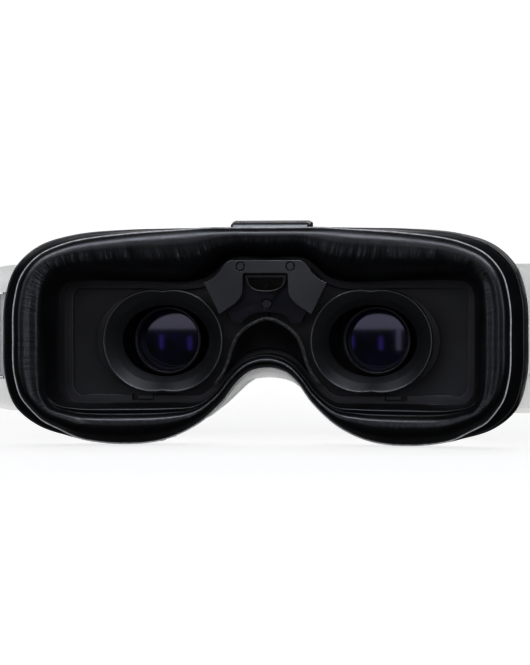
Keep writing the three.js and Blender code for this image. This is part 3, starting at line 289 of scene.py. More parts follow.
def boxes(name, spans):
    """Plain boxes for cutting, each from its lowest to its highest corner in millimetres."""
    corners = np.array([[x, y, z] for x in (0, 1) for y in (0, 1) for z in (0, 1)], float)
    quads = np.array([[0, 1, 3, 2], [4, 6, 7, 5], [0, 4, 5, 1], [2, 3, 7, 6], [0, 2, 6, 4], [1, 5, 7, 3]])
    low, high = np.array([s[0] for s in spans], float), np.array([s[1] for s in spans], float)
    points = low[:, None] + corners * (high - low)[:, None]
    points[..., 1] += DEPTH_ZERO
    faces = (quads[None] + 8 * np.arange(len(spans))[:, None, None]).reshape(-1, 4)
    mesh = bpy.data.meshes.new(name)
    mesh.from_pydata((points.reshape(-1, 3) * MM).tolist(), [], faces.tolist())
    made = bpy.data.objects.new(name, mesh)
    bpy.context.scene.collection.objects.link(made)
    return made


def apply_modifiers(piece):
    """Writes the evaluated shape into the piece's own mesh."""
    shape = piece.evaluated_get(bpy.context.evaluated_depsgraph_get())
    made = bpy.data.meshes.new_from_object(shape)
    piece.modifiers.clear()
    piece.data = made


def cut(piece, spans):
    """Takes boxes out of a piece."""
    cutter = boxes("cutter", spans)
    cutting = piece.modifiers.new("cut", "BOOLEAN")
    cutting.operation, cutting.solver, cutting.object = "DIFFERENCE", "EXACT", cutter
    bpy.context.view_layer.update()
    apply_modifiers(piece)
    bpy.data.objects.remove(cutter)
    piece.data.set_sharp_from_angle(angle=math.radians(35))


def dress(node, finish, bevel=0.2, angle=28.0):
    """A solid's own surface merged into shared corners, its sharp edges rounded by a bevel and its
    curved walls shaded smooth. It stands for the solid."""
    mesh = NODES[node].data.copy()
    mesh.name = node + "_finish"
    work = bmesh.new()
    work.from_mesh(mesh)
    bmesh.ops.remove_doubles(work, verts=work.verts, dist=2e-6)
    bmesh.ops.dissolve_limit(work, angle_limit=math.radians(0.6), verts=work.verts, edges=work.edges)
    work.to_mesh(mesh)
    work.free()
    mesh.materials.clear()
    mesh.materials.append(finish)
    mesh.polygons.foreach_set("use_smooth", [True] * len(mesh.polygons))
    mesh.set_sharp_from_angle(angle=math.radians(angle))
    made = bpy.data.objects.new(node + "_finish", mesh)
    bpy.context.scene.collection.objects.link(made)
    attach(made, BODY_OF[node])
    if bevel:
        rounding = made.modifiers.new("edges", "BEVEL")
        rounding.width, rounding.segments = bevel * MM, 2
        rounding.limit_method, rounding.angle_limit = "ANGLE", math.radians(angle)
        rounding.harden_normals = True
    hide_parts(node)
    return made


def paint(node, finish):
    """Gives a solid that stays as it is its finish."""
    NODES[node].data.materials.clear()
    NODES[node].data.materials.append(finish)


# ---- Finishes ----
def linear(colour):
    """A hex sRGB colour, or linear red, green and blue, as linear red, green, blue and alpha."""
    if not isinstance(colour, str):
        return tuple(colour) + (1.0,)
    parts = [int(colour[k : k + 2], 16) / 255 for k in (1, 3, 5)]
    return tuple(c / 12.92 if c <= 0.04045 else ((c + 0.055) / 1.055) ** 2.4 for c in parts) + (1.0,)


def around(colour, spread):
    """A darker and a lighter linear colour, the given share below and above a chosen one."""
    return tuple(c * (1 - spread) for c in colour), tuple(min(c * (1 + spread), 1.0) for c in colour)


def per_mm(size):
    """Pattern scale on metre coordinates for a pattern that repeats about every size millimetres."""
    return 1 / (size * MM)


def add(tree, kind, inputs=None, ramp=None, **settings):
    """Adds one node, with its settings, its inputs set or linked, and the stops of its ramp if it has one."""
    made = tree.nodes.new(kind)
    for key, value in settings.items():
        setattr(made, key, value)
    for key, value in (inputs or {}).items():
        if isinstance(value, bpy.types.NodeSocket):
            tree.links.new(value, made.inputs[key])
        else:
            made.inputs[key].default_value = value
    for k, (place, colour) in enumerate(ramp or []):
        stops = made.color_ramp.elements
        stop = stops[k] if k < 2 else stops.new(place)
        stop.position, stop.color = place, colour
    return made


def finish_named(name, colour, roughness, **sockets):
    """A material with its constant sockets set: (material, tree, shader)."""
    made = bpy.data.materials.new(name)
    made.use_nodes = True
    shader = made.node_tree.nodes["Principled BSDF"]
    shader.inputs["Base Color"].default_value = linear(colour)
    shader.inputs["Roughness"].default_value = roughness
    for key, value in sockets.items():
        shader.inputs[key.replace("_", " ")].default_value = value
    return made, made.node_tree, shader


def grain(tree, shader, size, depth, strength, detail=3.0, normal=None):
    """Moulded or embossed grain: noise that repeats every size millimetres, raised by depth millimetres."""
    where = add(tree, "ShaderNodeTexCoord").outputs["Object"]
    noise = add(tree, "ShaderNodeTexNoise", {"Vector": where, "Scale": per_mm(size), "Detail": detail})
    settings = {"Height": noise.outputs["Fac"], "Distance": depth * MM, "Strength": strength}
    if normal is not None:
        settings["Normal"] = normal
    bump = add(tree, "ShaderNodeBump", settings)
    tree.links.new(bump.outputs["Normal"], shader.inputs["Normal"])


def mottled(tree, shader, low, high, size, roughness=None):
    """Colour, and roughness if given, that drift slowly between two values over size millimetres. The
    ramp's stops lie at 0.25 and 0.75, because noise seldom goes past them."""
    where = add(tree, "ShaderNodeTexCoord").outputs["Object"]
    noise = add(tree, "ShaderNodeTexNoise", {"Vector": where, "Scale": per_mm(size), "Detail": 4.0})
    stops = [(0.25, linear(low)), (0.75, linear(high))]
    colour = add(tree, "ShaderNodeValToRGB", {"Fac": noise.outputs["Fac"]}, ramp=stops)
    tree.links.new(colour.outputs["Color"], shader.inputs["Base Color"])
    if roughness:
        spread = {"Value": noise.outputs["Fac"], "From Min": 0.3, "From Max": 0.7}
        spread.update({"To Min": roughness[0], "To Max": roughness[1]})
        rough = add(tree, "ShaderNodeMapRange", spread)
        tree.links.new(rough.outputs["Result"], shader.inputs["Roughness"])


def pu_leather(name="pu_leather_gasket", low="#030406", high="#07090d", wrinkled=True, ior=1.5):
    """Polyurethane leather over foam: knitted cloth coated and embossed. The eye sees blue-black skin
    with a pebble of about 0.9 mm, soft broad highlights and, where it turns tightly, fine creases."""
    made, tree, shader = finish_named(name, low, 0.46, IOR=ior)
    mottled(tree, shader, low, high, 9.0, roughness=(0.33, 0.43))
    where = add(tree, "ShaderNodeTexCoord")
    pebble = add(
        tree,
        "ShaderNodeTexVoronoi",
        {"Vector": where.outputs["Object"], "Scale": per_mm(0.9)},
        feature="DISTANCE_TO_EDGE",
    )
    settings = {"Height": pebble.outputs["Distance"], "Distance": 0.05 * MM, "Strength": 0.35}
    normal = add(tree, "ShaderNodeBump", settings).outputs["Normal"]
    if wrinkled:
        # Creases run across the roll, so the noise is short along it (1.3 mm) and long across it (16 mm).
        skin = add(tree, "ShaderNodeAttribute", attribute_name="skin")
        noise = {"Vector": skin.outputs["Vector"], "Scale": per_mm(1.3), "Detail": 3.0}
        crease = add(tree, "ShaderNodeTexNoise", noise)
        depth = add(tree, "ShaderNodeAttribute", attribute_name="crease")
        raised = {0: crease.outputs["Fac"], 1: depth.outputs["Fac"]}
        height = add(tree, "ShaderNodeMath", raised, operation="MULTIPLY")
        settings = {"Height": height.outputs["Value"], "Distance": 0.9 * MM, "Normal": normal}
        settings["Strength"] = 1.0
        normal = add(tree, "ShaderNodeBump", settings).outputs["Normal"]
    grain(tree, shader, 0.28, 0.03, 0.4, normal=normal)
    return made


def piping_vinyl():
    """Extruded PVC piping sewn into the seam: smooth, grey, with a clean thin highlight."""
    made, tree, shader = finish_named("pvc_piping", "#7c7d80", 0.4, IOR=1.53)
    mottled(tree, shader, "#8e8f92", "#bcbdc0", 1.6)
    grain(tree, shader, 0.35, 0.02, 0.3)
    return made


def binding_tape():
    """Woven nylon binding folded over the flap's edge and stitched: dark tape with pale, short thread
    ends about every 1.2 mm along it."""
    made, tree, shader = finish_named("nylon_binding", "#1c1c1e", 0.75, Sheen_Weight=0.2)
    where = add(tree, "ShaderNodeTexCoord").outputs["Object"]
    threads = add(tree, "ShaderNodeTexVoronoi", {"Vector": where, "Scale": per_mm(1.1)})
    stops = [(0.12, linear("#3c3d3f")), (0.5, linear("#0a0a0b"))]
    colour = add(tree, "ShaderNodeValToRGB", {"Fac": threads.outputs["Distance"]}, ramp=stops)
    tree.links.new(colour.outputs["Color"], shader.inputs["Base Color"])
    settings = {"Height": threads.outputs["Distance"], "Distance": 0.18 * MM, "Strength": 0.7}
    bump = add(tree, "ShaderNodeBump", settings)
    tree.links.new(bump.outputs["Normal"], shader.inputs["Normal"])
    return made


def moulded_grey(name="pc_abs_grey", low="#17181a", high="#1d1e20", rough=(0.44, 0.56)):
    """PC/ABS from a spark-eroded mould: charcoal, matt, with a fine even grain of about 0.35 mm."""
    made, tree, shader = finish_named(name, low, rough[0], IOR=1.58)
    mottled(tree, shader, low, high, 16.0, roughness=rough)
    grain(tree, shader, 0.35, 0.03, 0.45, detail=2.0)
    return made


def satin_black(name="abs_satin_black", low="#0a0a0c", high="#101012", rough=(0.38, 0.5)):
    """ABS from a lightly blasted mould: near black, satin, with a very fine grain of 0.22 mm."""
    made, tree, shader = finish_named(name, low, rough[0], IOR=1.54)
    mottled(tree, shader, low, high, 12.0, roughness=rough)
    grain(tree, shader, 0.22, 0.015, 0.35, detail=2.0)
    return made


def polished_black():
    """PMMA-capped black plastic from a polished mould: mirror-like, with faint handling smears."""
    made, tree, shader = finish_named("pmma_piano_black", "#07080b", 0.08, IOR=1.49, Coat_Weight=0.5)
    mottled(tree, shader, "#06070a", "#0b0c10", 18.0, roughness=(0.06, 0.16))
    return made


def smoked_visor():
    """Smoked polycarbonate front plate, polished and then hard-coated: deep grey, with soft smears."""
    made, tree, shader = finish_named("smoked_polycarbonate", "#22242a", 0.2, IOR=1.58)
    mottled(tree, shader, "#1e2025", "#292b31", 22.0, roughness=(0.14, 0.26))
    return made


def infrared_window():
    """Dark tinted acrylic over the wear sensor: deep olive black with a clear gloss."""
    made, tree, shader = finish_named("tinted_acrylic", "#0b0c09", 0.1, IOR=1.49)
    mottled(tree, shader, "#090a07", "#11120d", 6.0, roughness=(0.08, 0.16))
    return made


def white_abs(low="#e9e9e6", high="#f4f4f2"):
    """Injection-moulded white ABS, half gloss: slightly warm, with an almost invisible moulding ripple
    and a breath of grey that drifts over it at random."""
    made, tree, shader = finish_named("abs_white", high, 0.3, IOR=1.54)
    mottled(tree, shader, low, high, 30.0, roughness=(0.26, 0.36))
    grain(tree, shader, 0.5, 0.012, 0.25, detail=2.0)
    return made


def soft_polyamide():
    """Grey glass-filled polyamide of the strap loops: dry, slightly fibrous satin."""
    made, tree, shader = finish_named("polyamide_grey", "#b4b6b8", 0.55, IOR=1.53)
    mottled(tree, shader, "#aeb0b2", "#bcbdbf", 7.0, roughness=(0.48, 0.62))
    grain(tree, shader, 0.4, 0.03, 0.4)
    return made


def coated_lens():
    """Optical glass with a blue-violet anti-reflection coating over a black barrel: a dark, mirror-smooth
    face whose highlights are lavender. The navy of its depths is the coating's reflection, painted into the
    base colour."""
    made, tree, shader = finish_named("coated_optical_glass", "#04050c", 0.09, IOR=2.1)
    shader.inputs["Specular Tint"].default_value = linear("#f0eeff")
    # Painted reflection: the coating's navy reflection is painted into the base colour, which drifts between
    # navy and near black over the glass.
    where = add(tree, "ShaderNodeTexCoord").outputs["Object"]
    drift = add(tree, "ShaderNodeTexNoise", {"Vector": where, "Scale": per_mm(7.0), "Detail": 1.0})
    stops = [(0.35, linear("#020308")), (0.5, linear("#04071a")), (0.7, linear("#0d0c30"))]
    colour = add(tree, "ShaderNodeValToRGB", {"Fac": drift.outputs["Fac"]}, ramp=stops)
    tree.links.new(colour.outputs["Color"], shader.inputs["Base Color"])
    return made


def drawn_steel():
    """Drawn stainless steel: bright, with fine lines along the draw 0.15 mm apart."""
    made, tree, shader = finish_named("stainless_drawn", "#b9babc", 0.28, Metallic=1.0)
    where = add(tree, "ShaderNodeTexCoord").outputs["Object"]
    stretched = {"Vector": where, "Scale": (per_mm(3.0), per_mm(0.15), per_mm(0.15))}
    lines = add(tree, "ShaderNodeMapping", stretched).outputs["Vector"]
    noise = add(tree, "ShaderNodeTexNoise", {"Vector": lines, "Scale": 1.0, "Detail": 2.0})
    spread = {"Value": noise.outputs["Fac"], "To Min": 0.2, "To Max": 0.4}
    rough = add(tree, "ShaderNodeMapRange", spread)
    tree.links.new(rough.outputs["Result"], shader.inputs["Roughness"])
    return made


def gilt_brass():
    """Turned brass with thin gold plate, as on antenna sockets: warm, with turning marks of 0.2 mm."""
    made, tree, shader = finish_named("brass_gilt", "#c8a154", 0.25, Metallic=1.0)
    mottled(tree, shader, "#b88f45", "#d6b468", 3.0, roughness=(0.18, 0.34))
    grain(tree, shader, 0.2, 0.02, 0.4)
    return made


def solder_mask():
    """Epoxy-glass circuit board under green solder mask: satin, with the weave of 0.5 mm just showing."""
    made, tree, shader = finish_named("circuit_board_green", "#123b26", 0.4, IOR=1.5)
    mottled(tree, shader, "#0d2f1d", "#1a4a31", 4.0, roughness=(0.34, 0.5))
    grain(tree, shader, 0.5, 0.02, 0.4)
    return made


def backdrop_paper():
    """Matt studio paper, lit from behind until it looks white: smooth, with a faint fibre of 0.8 mm."""
    made, tree, shader = finish_named("studio_paper", "#808080", 0.9, IOR=1.45)
    mottled(tree, shader, "#7e7e7e", "#828282", 400.0)
    grain(tree, shader, 0.8, 0.02, 0.2)
    shader.inputs["Emission Color"].default_value = (1, 1, 1, 1)
    # The wall is lit from behind, and the glow fades out towards the middle of the floor.
    where = add(tree, "ShaderNodeTexCoord").outputs["Object"]
    away = add(tree, "ShaderNodeVectorMath", {0: where}, operation="LENGTH").outputs["Value"]
    fade = {"Value": away, "From Min": 0.15, "From Max": 1.2, "To Min": 0.8, "To Max": 1.0}
    glow = add(tree, "ShaderNodeMapRange", fade)
    tree.links.new(glow.outputs["Result"], shader.inputs["Emission Strength"])
    return made


_made = {}


def finish(maker, *arguments):
    """Each finish is made once."""
    key = (maker.__name__,) + arguments
    if key not in _made:
        _made[key] = maker(*arguments)
    return _made[key]


# ---- Settings ----
class GogglesGasketSettings(PropertyGroup):
    """Sizes and colour of the face gasket"""

    piping_radius: FloatProperty(
        name="Piping radius",
        description="Radius of the piping bead, in mm",
        default=0.26,
        min=0.1,
        max=1.5,
    )
    pressure: FloatProperty(
        name="Filling pressure",
        description="Pressure that puffs the leather out between its seams",
        default=4.0,
    )
    swell: FloatProperty(
        name="Largest swell",
        description="Furthest the filling may move the leather, in mm",
        default=1.1,
        min=0.0,
    )
    crease: FloatProperty(
        name="Crease depth",
        description="Depth of the larger creases over the brow, in mm",
        default=0.6,
        min=0.0,
    )
    steps: IntProperty(
        name="Steps round",
        description="Mesh steps round the gasket",
        default=720,
        min=100,
    )
    leather: FloatVectorProperty(
        name="Leather colour",
        description="Middle colour of the leather",
        default=linear("#050609")[:3],
        subtype="COLOR",
        min=0.0,
        max=1.0,
    )


class GogglesEyeSettings(PropertyGroup):
    """Sizes of the dishes and lenses"""

    rim_steps: IntProperty(
        name="Rim steps",
        description="Mesh steps round a dish",
        default=160,
        min=24,
    )
    lens_radius: FloatProperty(
        name="Lens radius",
        description="Radius of the eye lens, in mm",
        default=9.7,
    )
    lens_bulge: FloatProperty(
        name="Lens bulge",
        description="Rise of the lens face over its edge, in mm",
        default=0.6,
    )


class GogglesHousingSettings(PropertyGroup):
    """Colour and edges of the housing"""

    shell: FloatVectorProperty(
        name="Shell colour",
        description="Middle colour of the white housing",
        default=linear("#eeeeec")[:3],
        subtype="COLOR",
        min=0.0,
        max=1.0,
    )
    edge: FloatProperty(
        name="Edge rounding",
        description="Radius of moulded edges, in mm",
        default=0.35,
        min=0.0,
    )


class GogglesStageSettings(PropertyGroup):
    """Where the camera and the paper stand"""

    distance: FloatProperty(
        name="Camera distance",
        description="From the aim to the camera, in m",
        default=0.70,
        unit="LENGTH",
    )
    azimuth: FloatProperty(
        name="Azimuth",
        description="Camera's turn towards the wearer's right, in degrees",
        default=7.0,
    )
    elevation: FloatProperty(
        name="Elevation",
        description="Camera's height above level, in degrees",
        default=0.6,
    )
    drop: FloatProperty(
        name="Floor gap",
        description="Paper below the skids, in mm",
        default=0.3,
        min=0.0,
    )
    focal: FloatProperty(
        name="Focal length",
        description="Lens on a 36 mm long side, in mm",
        default=125.9,
    )
    aim: FloatVectorProperty(
        name="Aim",
        description="Point in the middle of the view, in m",
        default=(0.0014, -0.032, 0.0345),
        subtype="XYZ",
    )


# ---- Face gasket ----
def tables(weights, count):
    """Depth of the padded face from its piping (0) to the window (1), as a share of the way from the
    crest to the cushion's back: three sections, for the temples, the brow and the cheeks, mixed by how
    much each step of the outline belongs to them."""
    at = np.linspace(0, 1, count)
    temple = np.interp(
        at,
        [0, 0.06, 0.16, 0.28, 0.38, 0.46, 0.54, 0.66, 0.78, 0.9, 1],
        [0.22, 0.15, 0.05, 0, 0.012, 0.032, 0.02, 0.005, 0.07, 0.33, 0.8],
    )
    brow = np.interp(
        at,
        [0, 0.06, 0.14, 0.26, 0.4, 0.55, 0.7, 0.82, 0.92, 1],
        [0.2, 0.1, 0.03, 0, 0.03, 0.08, 0.16, 0.3, 0.55, 0.8],
    )
    cheek = np.interp(
        at,
        [0, 0.1, 0.22, 0.34, 0.46, 0.6, 0.67, 0.74, 0.8, 0.86, 0.92, 1],
        [0.6, 0.42, 0.14, 0.03, 0, 0.01, 0.07, 0.26, 0.18, 0.13, 0.3, 0.8],
    )
    mixed = [smooth(t, passes) for t, passes in ((temple, 5), (brow, 3), (cheek, 2))]
    return sum(w[:, None] * t[None, :] for w, t in zip(weights, mixed))


def gasket_surface(steps, counts):
    """The cushion's surface on a closed grid: round the outline by round its section. The section runs up
    the side band to the piping, over the padded face, down the window's wall and back along the flat
    back. Returns the positions, each point's place along the section (0 to 1), the piping's point in the
    section, and how much each step of the outline belongs to temple, brow and cheek."""
    outer, inner = outlines(steps)
    normal = outward(outer)
    x, z = outer[:, 0], outer[:, 1]
    reach = np.abs(x)
    far = np.clip((reach - 36) / 26, 0, 1)
    temple = normal[:, 0] ** 2 * far * far * (3 - 2 * far)
    brow = np.where(z > EYE_HEIGHT, 1 - temple, 0)
    cheek = 1 - temple - brow
    # The piping lies well in at the temples and meets the edge over the brow and under the cheeks.
    upper = np.interp(reach, [15, 19, 31, 48.6, 60.5, 70.6, 80], [0.2, 0.3, 1.2, 2.3, 3.1, 4.3, 5.6])
    lower = np.interp(reach, [50, 57.5, 63.6, 69.7, 76, 80], [0.2, 0.4, 2.2, 3.2, 5.2, 5.6])
    level = np.clip((z - 18) / 30, 0, 1)
    inset = upper * level + lower * (1 - level)
    for _ in range(steps // 40):
        inset = (np.roll(inset, 1) + 2 * inset + np.roll(inset, -1)) / 4
    width = np.linalg.norm(inner - outer, axis=1)
    seam = (inset / width)[:, None]
    band, face, wall, back = counts
    t = np.linspace(0, 1, band, endpoint=False)[None, :]
    s = np.linspace(0, 1, face)[None, :]
    down = np.linspace(0, 1, wall + 1)[None, 1:]
    home = np.linspace(0, 1, back + 2)[None, 1:-1]
    padded = tables((temple, brow, cheek), face)
    top, bottom = padded[:, :1], padded[:, -1:]
    every = np.ones((steps, 1))
    share = np.concatenate(
        [seam * (0.06 + 0.94 * t**1.6), seam + (1 - seam) * s, every + 0 * down, (1 - home) * every],
        axis=1,
    )
    height = np.concatenate(
        [1 - (1 - top) * t**0.9, padded, bottom + (1 - bottom) * down, every + 0 * home],
        axis=1,
    )
    flat = outer[:, None] + (inner - outer)[:, None] * share[..., None]
    crest = rim_depth(flat[..., 0], flat[..., 1])
    depth = crest + (base_depth(flat[..., 0]) - crest) * height
    points = np.stack([flat[..., 0], depth, flat[..., 1]], axis=-1)
    place = np.concatenate([t[0] * 0.2, 0.2 + 0.55 * s[0], 0.75 + 0.08 * down[0], 0.83 + 0.17 * home[0]])
    return points, place, band, (temple, brow, cheek)


def resampled(field, place, steps, new_place):
    """A field on a closed coarse grid read on a finer one, linear both ways."""
    at = np.arange(steps) / steps * len(field)
    i = at.astype(int)
    t = (at - i)[:, None, None]
    rows = field[i] * (1 - t) + field[(i + 1) % len(field)] * t
    knots = np.append(place, 1.0)
    rows = np.concatenate([rows, rows[:, :1]], axis=1)
    j = np.clip(np.searchsorted(knots, new_place, side="right") - 1, 0, len(knots) - 2)
    w = ((new_place - knots[j]) / (knots[j + 1] - knots[j]))[None, :, None]
    return rows[:, j] * (1 - w) + rows[:, j + 1] * w


def blown(points, pinned, pressure, limit):
    """How far a closed skin moves when it is filled: Blender's cloth with inner pressure and no gravity,
    held along its seams, each point's travel limited."""
    rows, columns = points.shape[:2]
    flat = points.reshape(-1, 3)
    mesh = bpy.data.meshes.new("filling")
    quads = ring_faces(rows, columns)
    mesh.from_pydata((flat * MM).tolist(), [], quads[:, ::-1].tolist())
    skin = bpy.data.objects.new("filling", mesh)
    bpy.context.scene.collection.objects.link(skin)
    work = bmesh.new()
    work.from_mesh(mesh)
    bmesh.ops.recalc_face_normals(work, faces=work.faces)
    work.to_mesh(mesh)
    work.free()
    held = skin.vertex_groups.new(name="seams")
    held.add([int(k) for k in np.flatnonzero(pinned.ravel())], 1.0, "REPLACE")
    cloth = skin.modifiers.new("filling", "CLOTH")
    cloth.settings.quality = 6
    cloth.settings.mass = 0.2
    cloth.settings.tension_stiffness = 12
    cloth.settings.compression_stiffness = 12
    cloth.settings.shear_stiffness = 4
    cloth.settings.bending_stiffness = 1.0
    cloth.settings.use_pressure = True
    cloth.settings.uniform_pressure_force = pressure
    cloth.settings.vertex_group_mass = "seams"
    cloth.settings.effector_weights.gravity = 0
    cloth.collision_settings.use_collision = False
    cloth.point_cache.frame_start, cloth.point_cache.frame_end = 1, 20
    scene = bpy.context.scene
    for number in range(1, 21):
        scene.frame_set(number)
    shape = skin.evaluated_get(bpy.context.evaluated_depsgraph_get())
    moved = np.empty(len(flat) * 3)
    shape.data.vertices.foreach_get("co", moved)
    scene.frame_set(1)
    bpy.data.objects.remove(skin)
    travel = moved.reshape(-1, 3) / MM - flat
    length = np.linalg.norm(travel, axis=1, keepdims=True)
    return (travel * np.minimum(1, limit / np.maximum(length, 1e-9))).reshape(points.shape)


def surface_normals(points):
    """Outward normals of a closed grid, from the cross product of its two directions."""
    along = np.roll(points, -1, axis=0) - np.roll(points, 1, axis=0)
    round_it = np.roll(points, -1, axis=1) - np.roll(points, 1, axis=1)
    normal = np.cross(along, round_it)
    normal /= np.maximum(np.linalg.norm(normal, axis=2, keepdims=True), 1e-9)
    middle = points.mean(axis=1, keepdims=True)
    facing = ((points - middle) * normal).sum(axis=(1, 2))
    return normal * np.sign(facing.sum())


class GOGGLES_OT_cushion(Operator):
    """Leather gasket: a closed section carried round the outline, filled between its seams, then creased.
    A crease pushes the skin in along its normal by a narrow bell curve across each crease line"""

    bl_idname = "goggles.cushion"
    bl_label = "Face cushion"

    def execute(self, context):
        made = context.scene.goggles_gasket
        steps, counts = made.steps, (9, 44, 5, 4)
        points, place, seam_row, weights = gasket_surface(steps, counts)
        coarse, rough_place, held_row, _ = gasket_surface(240, (4, 14, 3, 3))
        pinned = np.zeros(coarse.shape[:2], bool)
        pinned[:, 0] = pinned[:, held_row] = True
        pinned[:, held_row + 13 :] = True
        travel = blown(coarse, pinned, made.pressure, made.swell)
        points = points + resampled(travel, rough_place, steps, place)
        temple, brow, cheek = (w[:, None] for w in weights)
        x = points[:, seam_row, 0]
        s = np.clip((place - 0.2) / 0.55, 0, 1)[None, :]
        upper = np.exp(-(((s - 0.56) / 0.2) ** 2)) * brow
        lower = np.exp(-(((s - 0.42) / 0.16) ** 2)) * cheek
        ripple = waves(steps, 60, 7, 60, 200)[:, None] * 0.4 + waves(steps, 40, 11, 20, 70)[:, None] * 0.6
        push = ripple * (0.2 * upper + 0.07 * lower)
        # Deeper folds near the corners of the brow: x, half width, depth as a share of the set depth.
        folds = [
            (-52.3, 1.1, 1.0),
            (-50.0, 0.7, -0.6),
            (-41.2, 0.9, 0.9),
            (49.8, 0.8, 0.7),
            (52.6, 0.8, -0.7),
            (54.6, 0.9, 0.9),
        ]
        for where, wide, deep in folds:
            lean = (x[:, None] - where - 1.6 * (s - 0.5)) / wide
            push = push - made.crease * deep * np.exp(-(lean**2)) * upper
        # One small raised fold under the left cheek.
        fold = np.exp(-((x[:, None] + 56.5 - 3 * (s - 0.5)) ** 2)) * lower
        push = push + 0.5 * fold
        points = points + surface_normals(points) * push[..., None]
        across = np.linalg.norm(np.diff(points, axis=1, prepend=points[:, :1]), axis=2).cumsum(axis=1)
        # The skin's own coordinates: a circle as long as the outline, and the way across pressed together.
        turn = np.linspace(0, 2 * np.pi, steps, endpoint=False)[:, None] + 0 * across
        line = points[:, 20]
        radius = np.linalg.norm(np.roll(line, -1, axis=0) - line, axis=1).sum() / (2 * np.pi)
        skin = np.stack([radius * np.cos(turn), radius * np.sin(turn), across * 1.3 / 16], axis=-1) * MM
        skin_finish = finish(pu_leather, "pu_leather_gasket", *around(made.leather, 0.4))
        cushion = carried("cushion_leather", points, skin_finish, "housing")
        own = cushion.data.attributes.new("skin", "FLOAT_VECTOR", "POINT")
        own.data.foreach_set("vector", skin.astype(np.float32).ravel())
        depth = np.clip(1.0 * upper + 0.4 * lower + 0.12 * temple * (s > 0) * (s < 1), 0, 1)
        crease = cushion.data.attributes.new("crease", "FLOAT", "POINT")
        crease.data.foreach_set("value", depth.astype(np.float32).ravel())
        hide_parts("face_cushion")
        piping = points[:, seam_row] + surface_normals(points)[:, seam_row] * 0.12
        tube("cushion_piping", piping, made.piping_radius, finish(piping_vinyl), "housing")
        # The welt bead's grey is a painted highlight: it stands for the thin light line along the side band.
        grey = finish(pu_leather, "pu_leather_welt", "#2a2b2f", "#3c3d42", False)
        tube("side_welt", points[:, WELT_POINT], WELT_RADIUS, grey, "housing", sides=6)
        return {"FINISHED"}


class GOGGLES_OT_nose_flap(Operator):
    """Nose flap: a strip between the edge sewn under the cushion and its bound free edge. Between them
    it sags by a parabola, and a rolled tape runs along the free edge"""

    bl_idname = "goggles.nose_flap"
    bl_label = "Nose flap"

    def execute(self, context):
        # From the right end to the middle: x and z on the sewn edge, x and z on the free edge.
        half = np.array(
            [
                (15.8, 17.8, 16.1, 18.4),
                (13.7, 20.6, 14.0, 21.2),
                (11.8, 22.8, 12.4, 24.4),
                (9.5, 25.6, 11.1, 28.9),
                (6.6, 27.8, 9.6, 33.0),
                (3.6, 28.9, 5.8, 36.6),
                (0, 29.3, 0, 39.2),
            ]
        )
        whole = np.concatenate([half, half[:-1][::-1] * [-1, 1, -1, 1]])
        steps, rows, thickness = 120, 16, 0.8
        at = np.linspace(0, len(whole) - 1, steps)
        strip = np.stack([np.interp(at, np.arange(len(whole)), whole[:, k]) for k in range(4)], axis=1)
        for _ in range(14):
            strip[1:-1] = (strip[:-2] + 2 * strip[1:-1] + strip[2:]) / 4
        t = np.linspace(0, 1, rows)[None, :]
        x = strip[:, :1] + (strip[:, 2:3] - strip[:, :1]) * t
        z = strip[:, 1:2] + (strip[:, 3:] - strip[:, 1:2]) * t
        width = np.hypot(strip[:, 2:3] - strip[:, :1], strip[:, 3:] - strip[:, 1:2])
        y = 28.6 - 1.8 * t + 0.06 * width * 4 * t * (1 - t)
        front = np.stack([x, y, z], axis=-1)
        thick = front + [0, thickness, 0]
        loop = np.concatenate([front, thick[:, ::-1]], axis=1)
        columns = loop.shape[1]
        faces = ring_faces(steps, columns, close_rows=False).tolist()
        faces.append(list(range(columns)))
        faces.append([(steps - 1) * columns + k for k in range(columns)][::-1])
        leather = finish(pu_leather, "pu_leather_flap", "#040405", "#08090b", False, 1.25)
        flap = mesh_object("nose_flap_leather", loop.reshape(-1, 3), faces, leather, "housing")
        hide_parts("nose_flap")
        edge = front[:, -1] + [0, 0.2, 0]
        ends = np.concatenate([edge, edge[::-1] + [0, 0.9, 0]])
        binding = tube("nose_flap_binding", ends, 0.5, finish(binding_tape), "housing")
        return {"FINISHED"}


class GOGGLES_OT_bezel(Operator):
    """Window bezel: an L-shaped section with rounded corners carried round the window, with a slot in
    its lower band for each latch"""

    bl_idname = "goggles.bezel"
    bl_label = "Window bezel"

    def execute(self, context):
        # Section corners: distance outside the window, depth, share of the cushion's curved back depth.
        corners = [
            (1.9, FRAME_FRONT, 1),
            (0.3, FRAME_FRONT, 1),
            (0.3, LEDGE_DEPTH, 0),
            (-2.4, LEDGE_DEPTH, 0),
            (-2.4, LEDGE_DEPTH + 1.7, 0),
            (0.3, LEDGE_DEPTH + 1.7, 0),
            (0.3, PANEL_BACK, 0),
            (1.9, PANEL_BACK, 0),
        ]
        section = filleted(corners, 0.22, 3)
        steps = 560
        rings = []
        for outset, depth, share in section:
            ring = outlines(steps, outset)[1]
            y = depth + share * base_depth(ring[:, 0])
            rings.append(np.stack([ring[:, 0], y, ring[:, 1]], axis=1))
        grey = finish(moulded_grey, "pc_abs_bezel", "#222326", "#2a2b2e", (0.36, 0.46))
        ring = carried("bezel_ring", np.stack(rings, axis=1), grey, "housing")
        z = CHEEK + 1.5
        spans = [((s * 39.5 - 3.4, 30, z - 0.9), (s * 39.5 + 3.4, 34, z + 0.9)) for s in (-1, 1)]
        cut(ring, spans)
        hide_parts("bezel")
        for name in ("insert_latch_right", "insert_latch_left"):
            dress(name, finish(moulded_grey, "pc_abs_latch", "#2c2e30", "#37393b", (0.4, 0.5)), 0.1)
        panel = finish(moulded_grey, "pc_abs_panel", "#1f2022", "#26272a", (0.46, 0.58))
        for name in ("eye_panel_right", "eye_panel_left"):
            paint(name, panel)
        paint("cushion_frame", finish(satin_black))
        return {"FINISHED"}


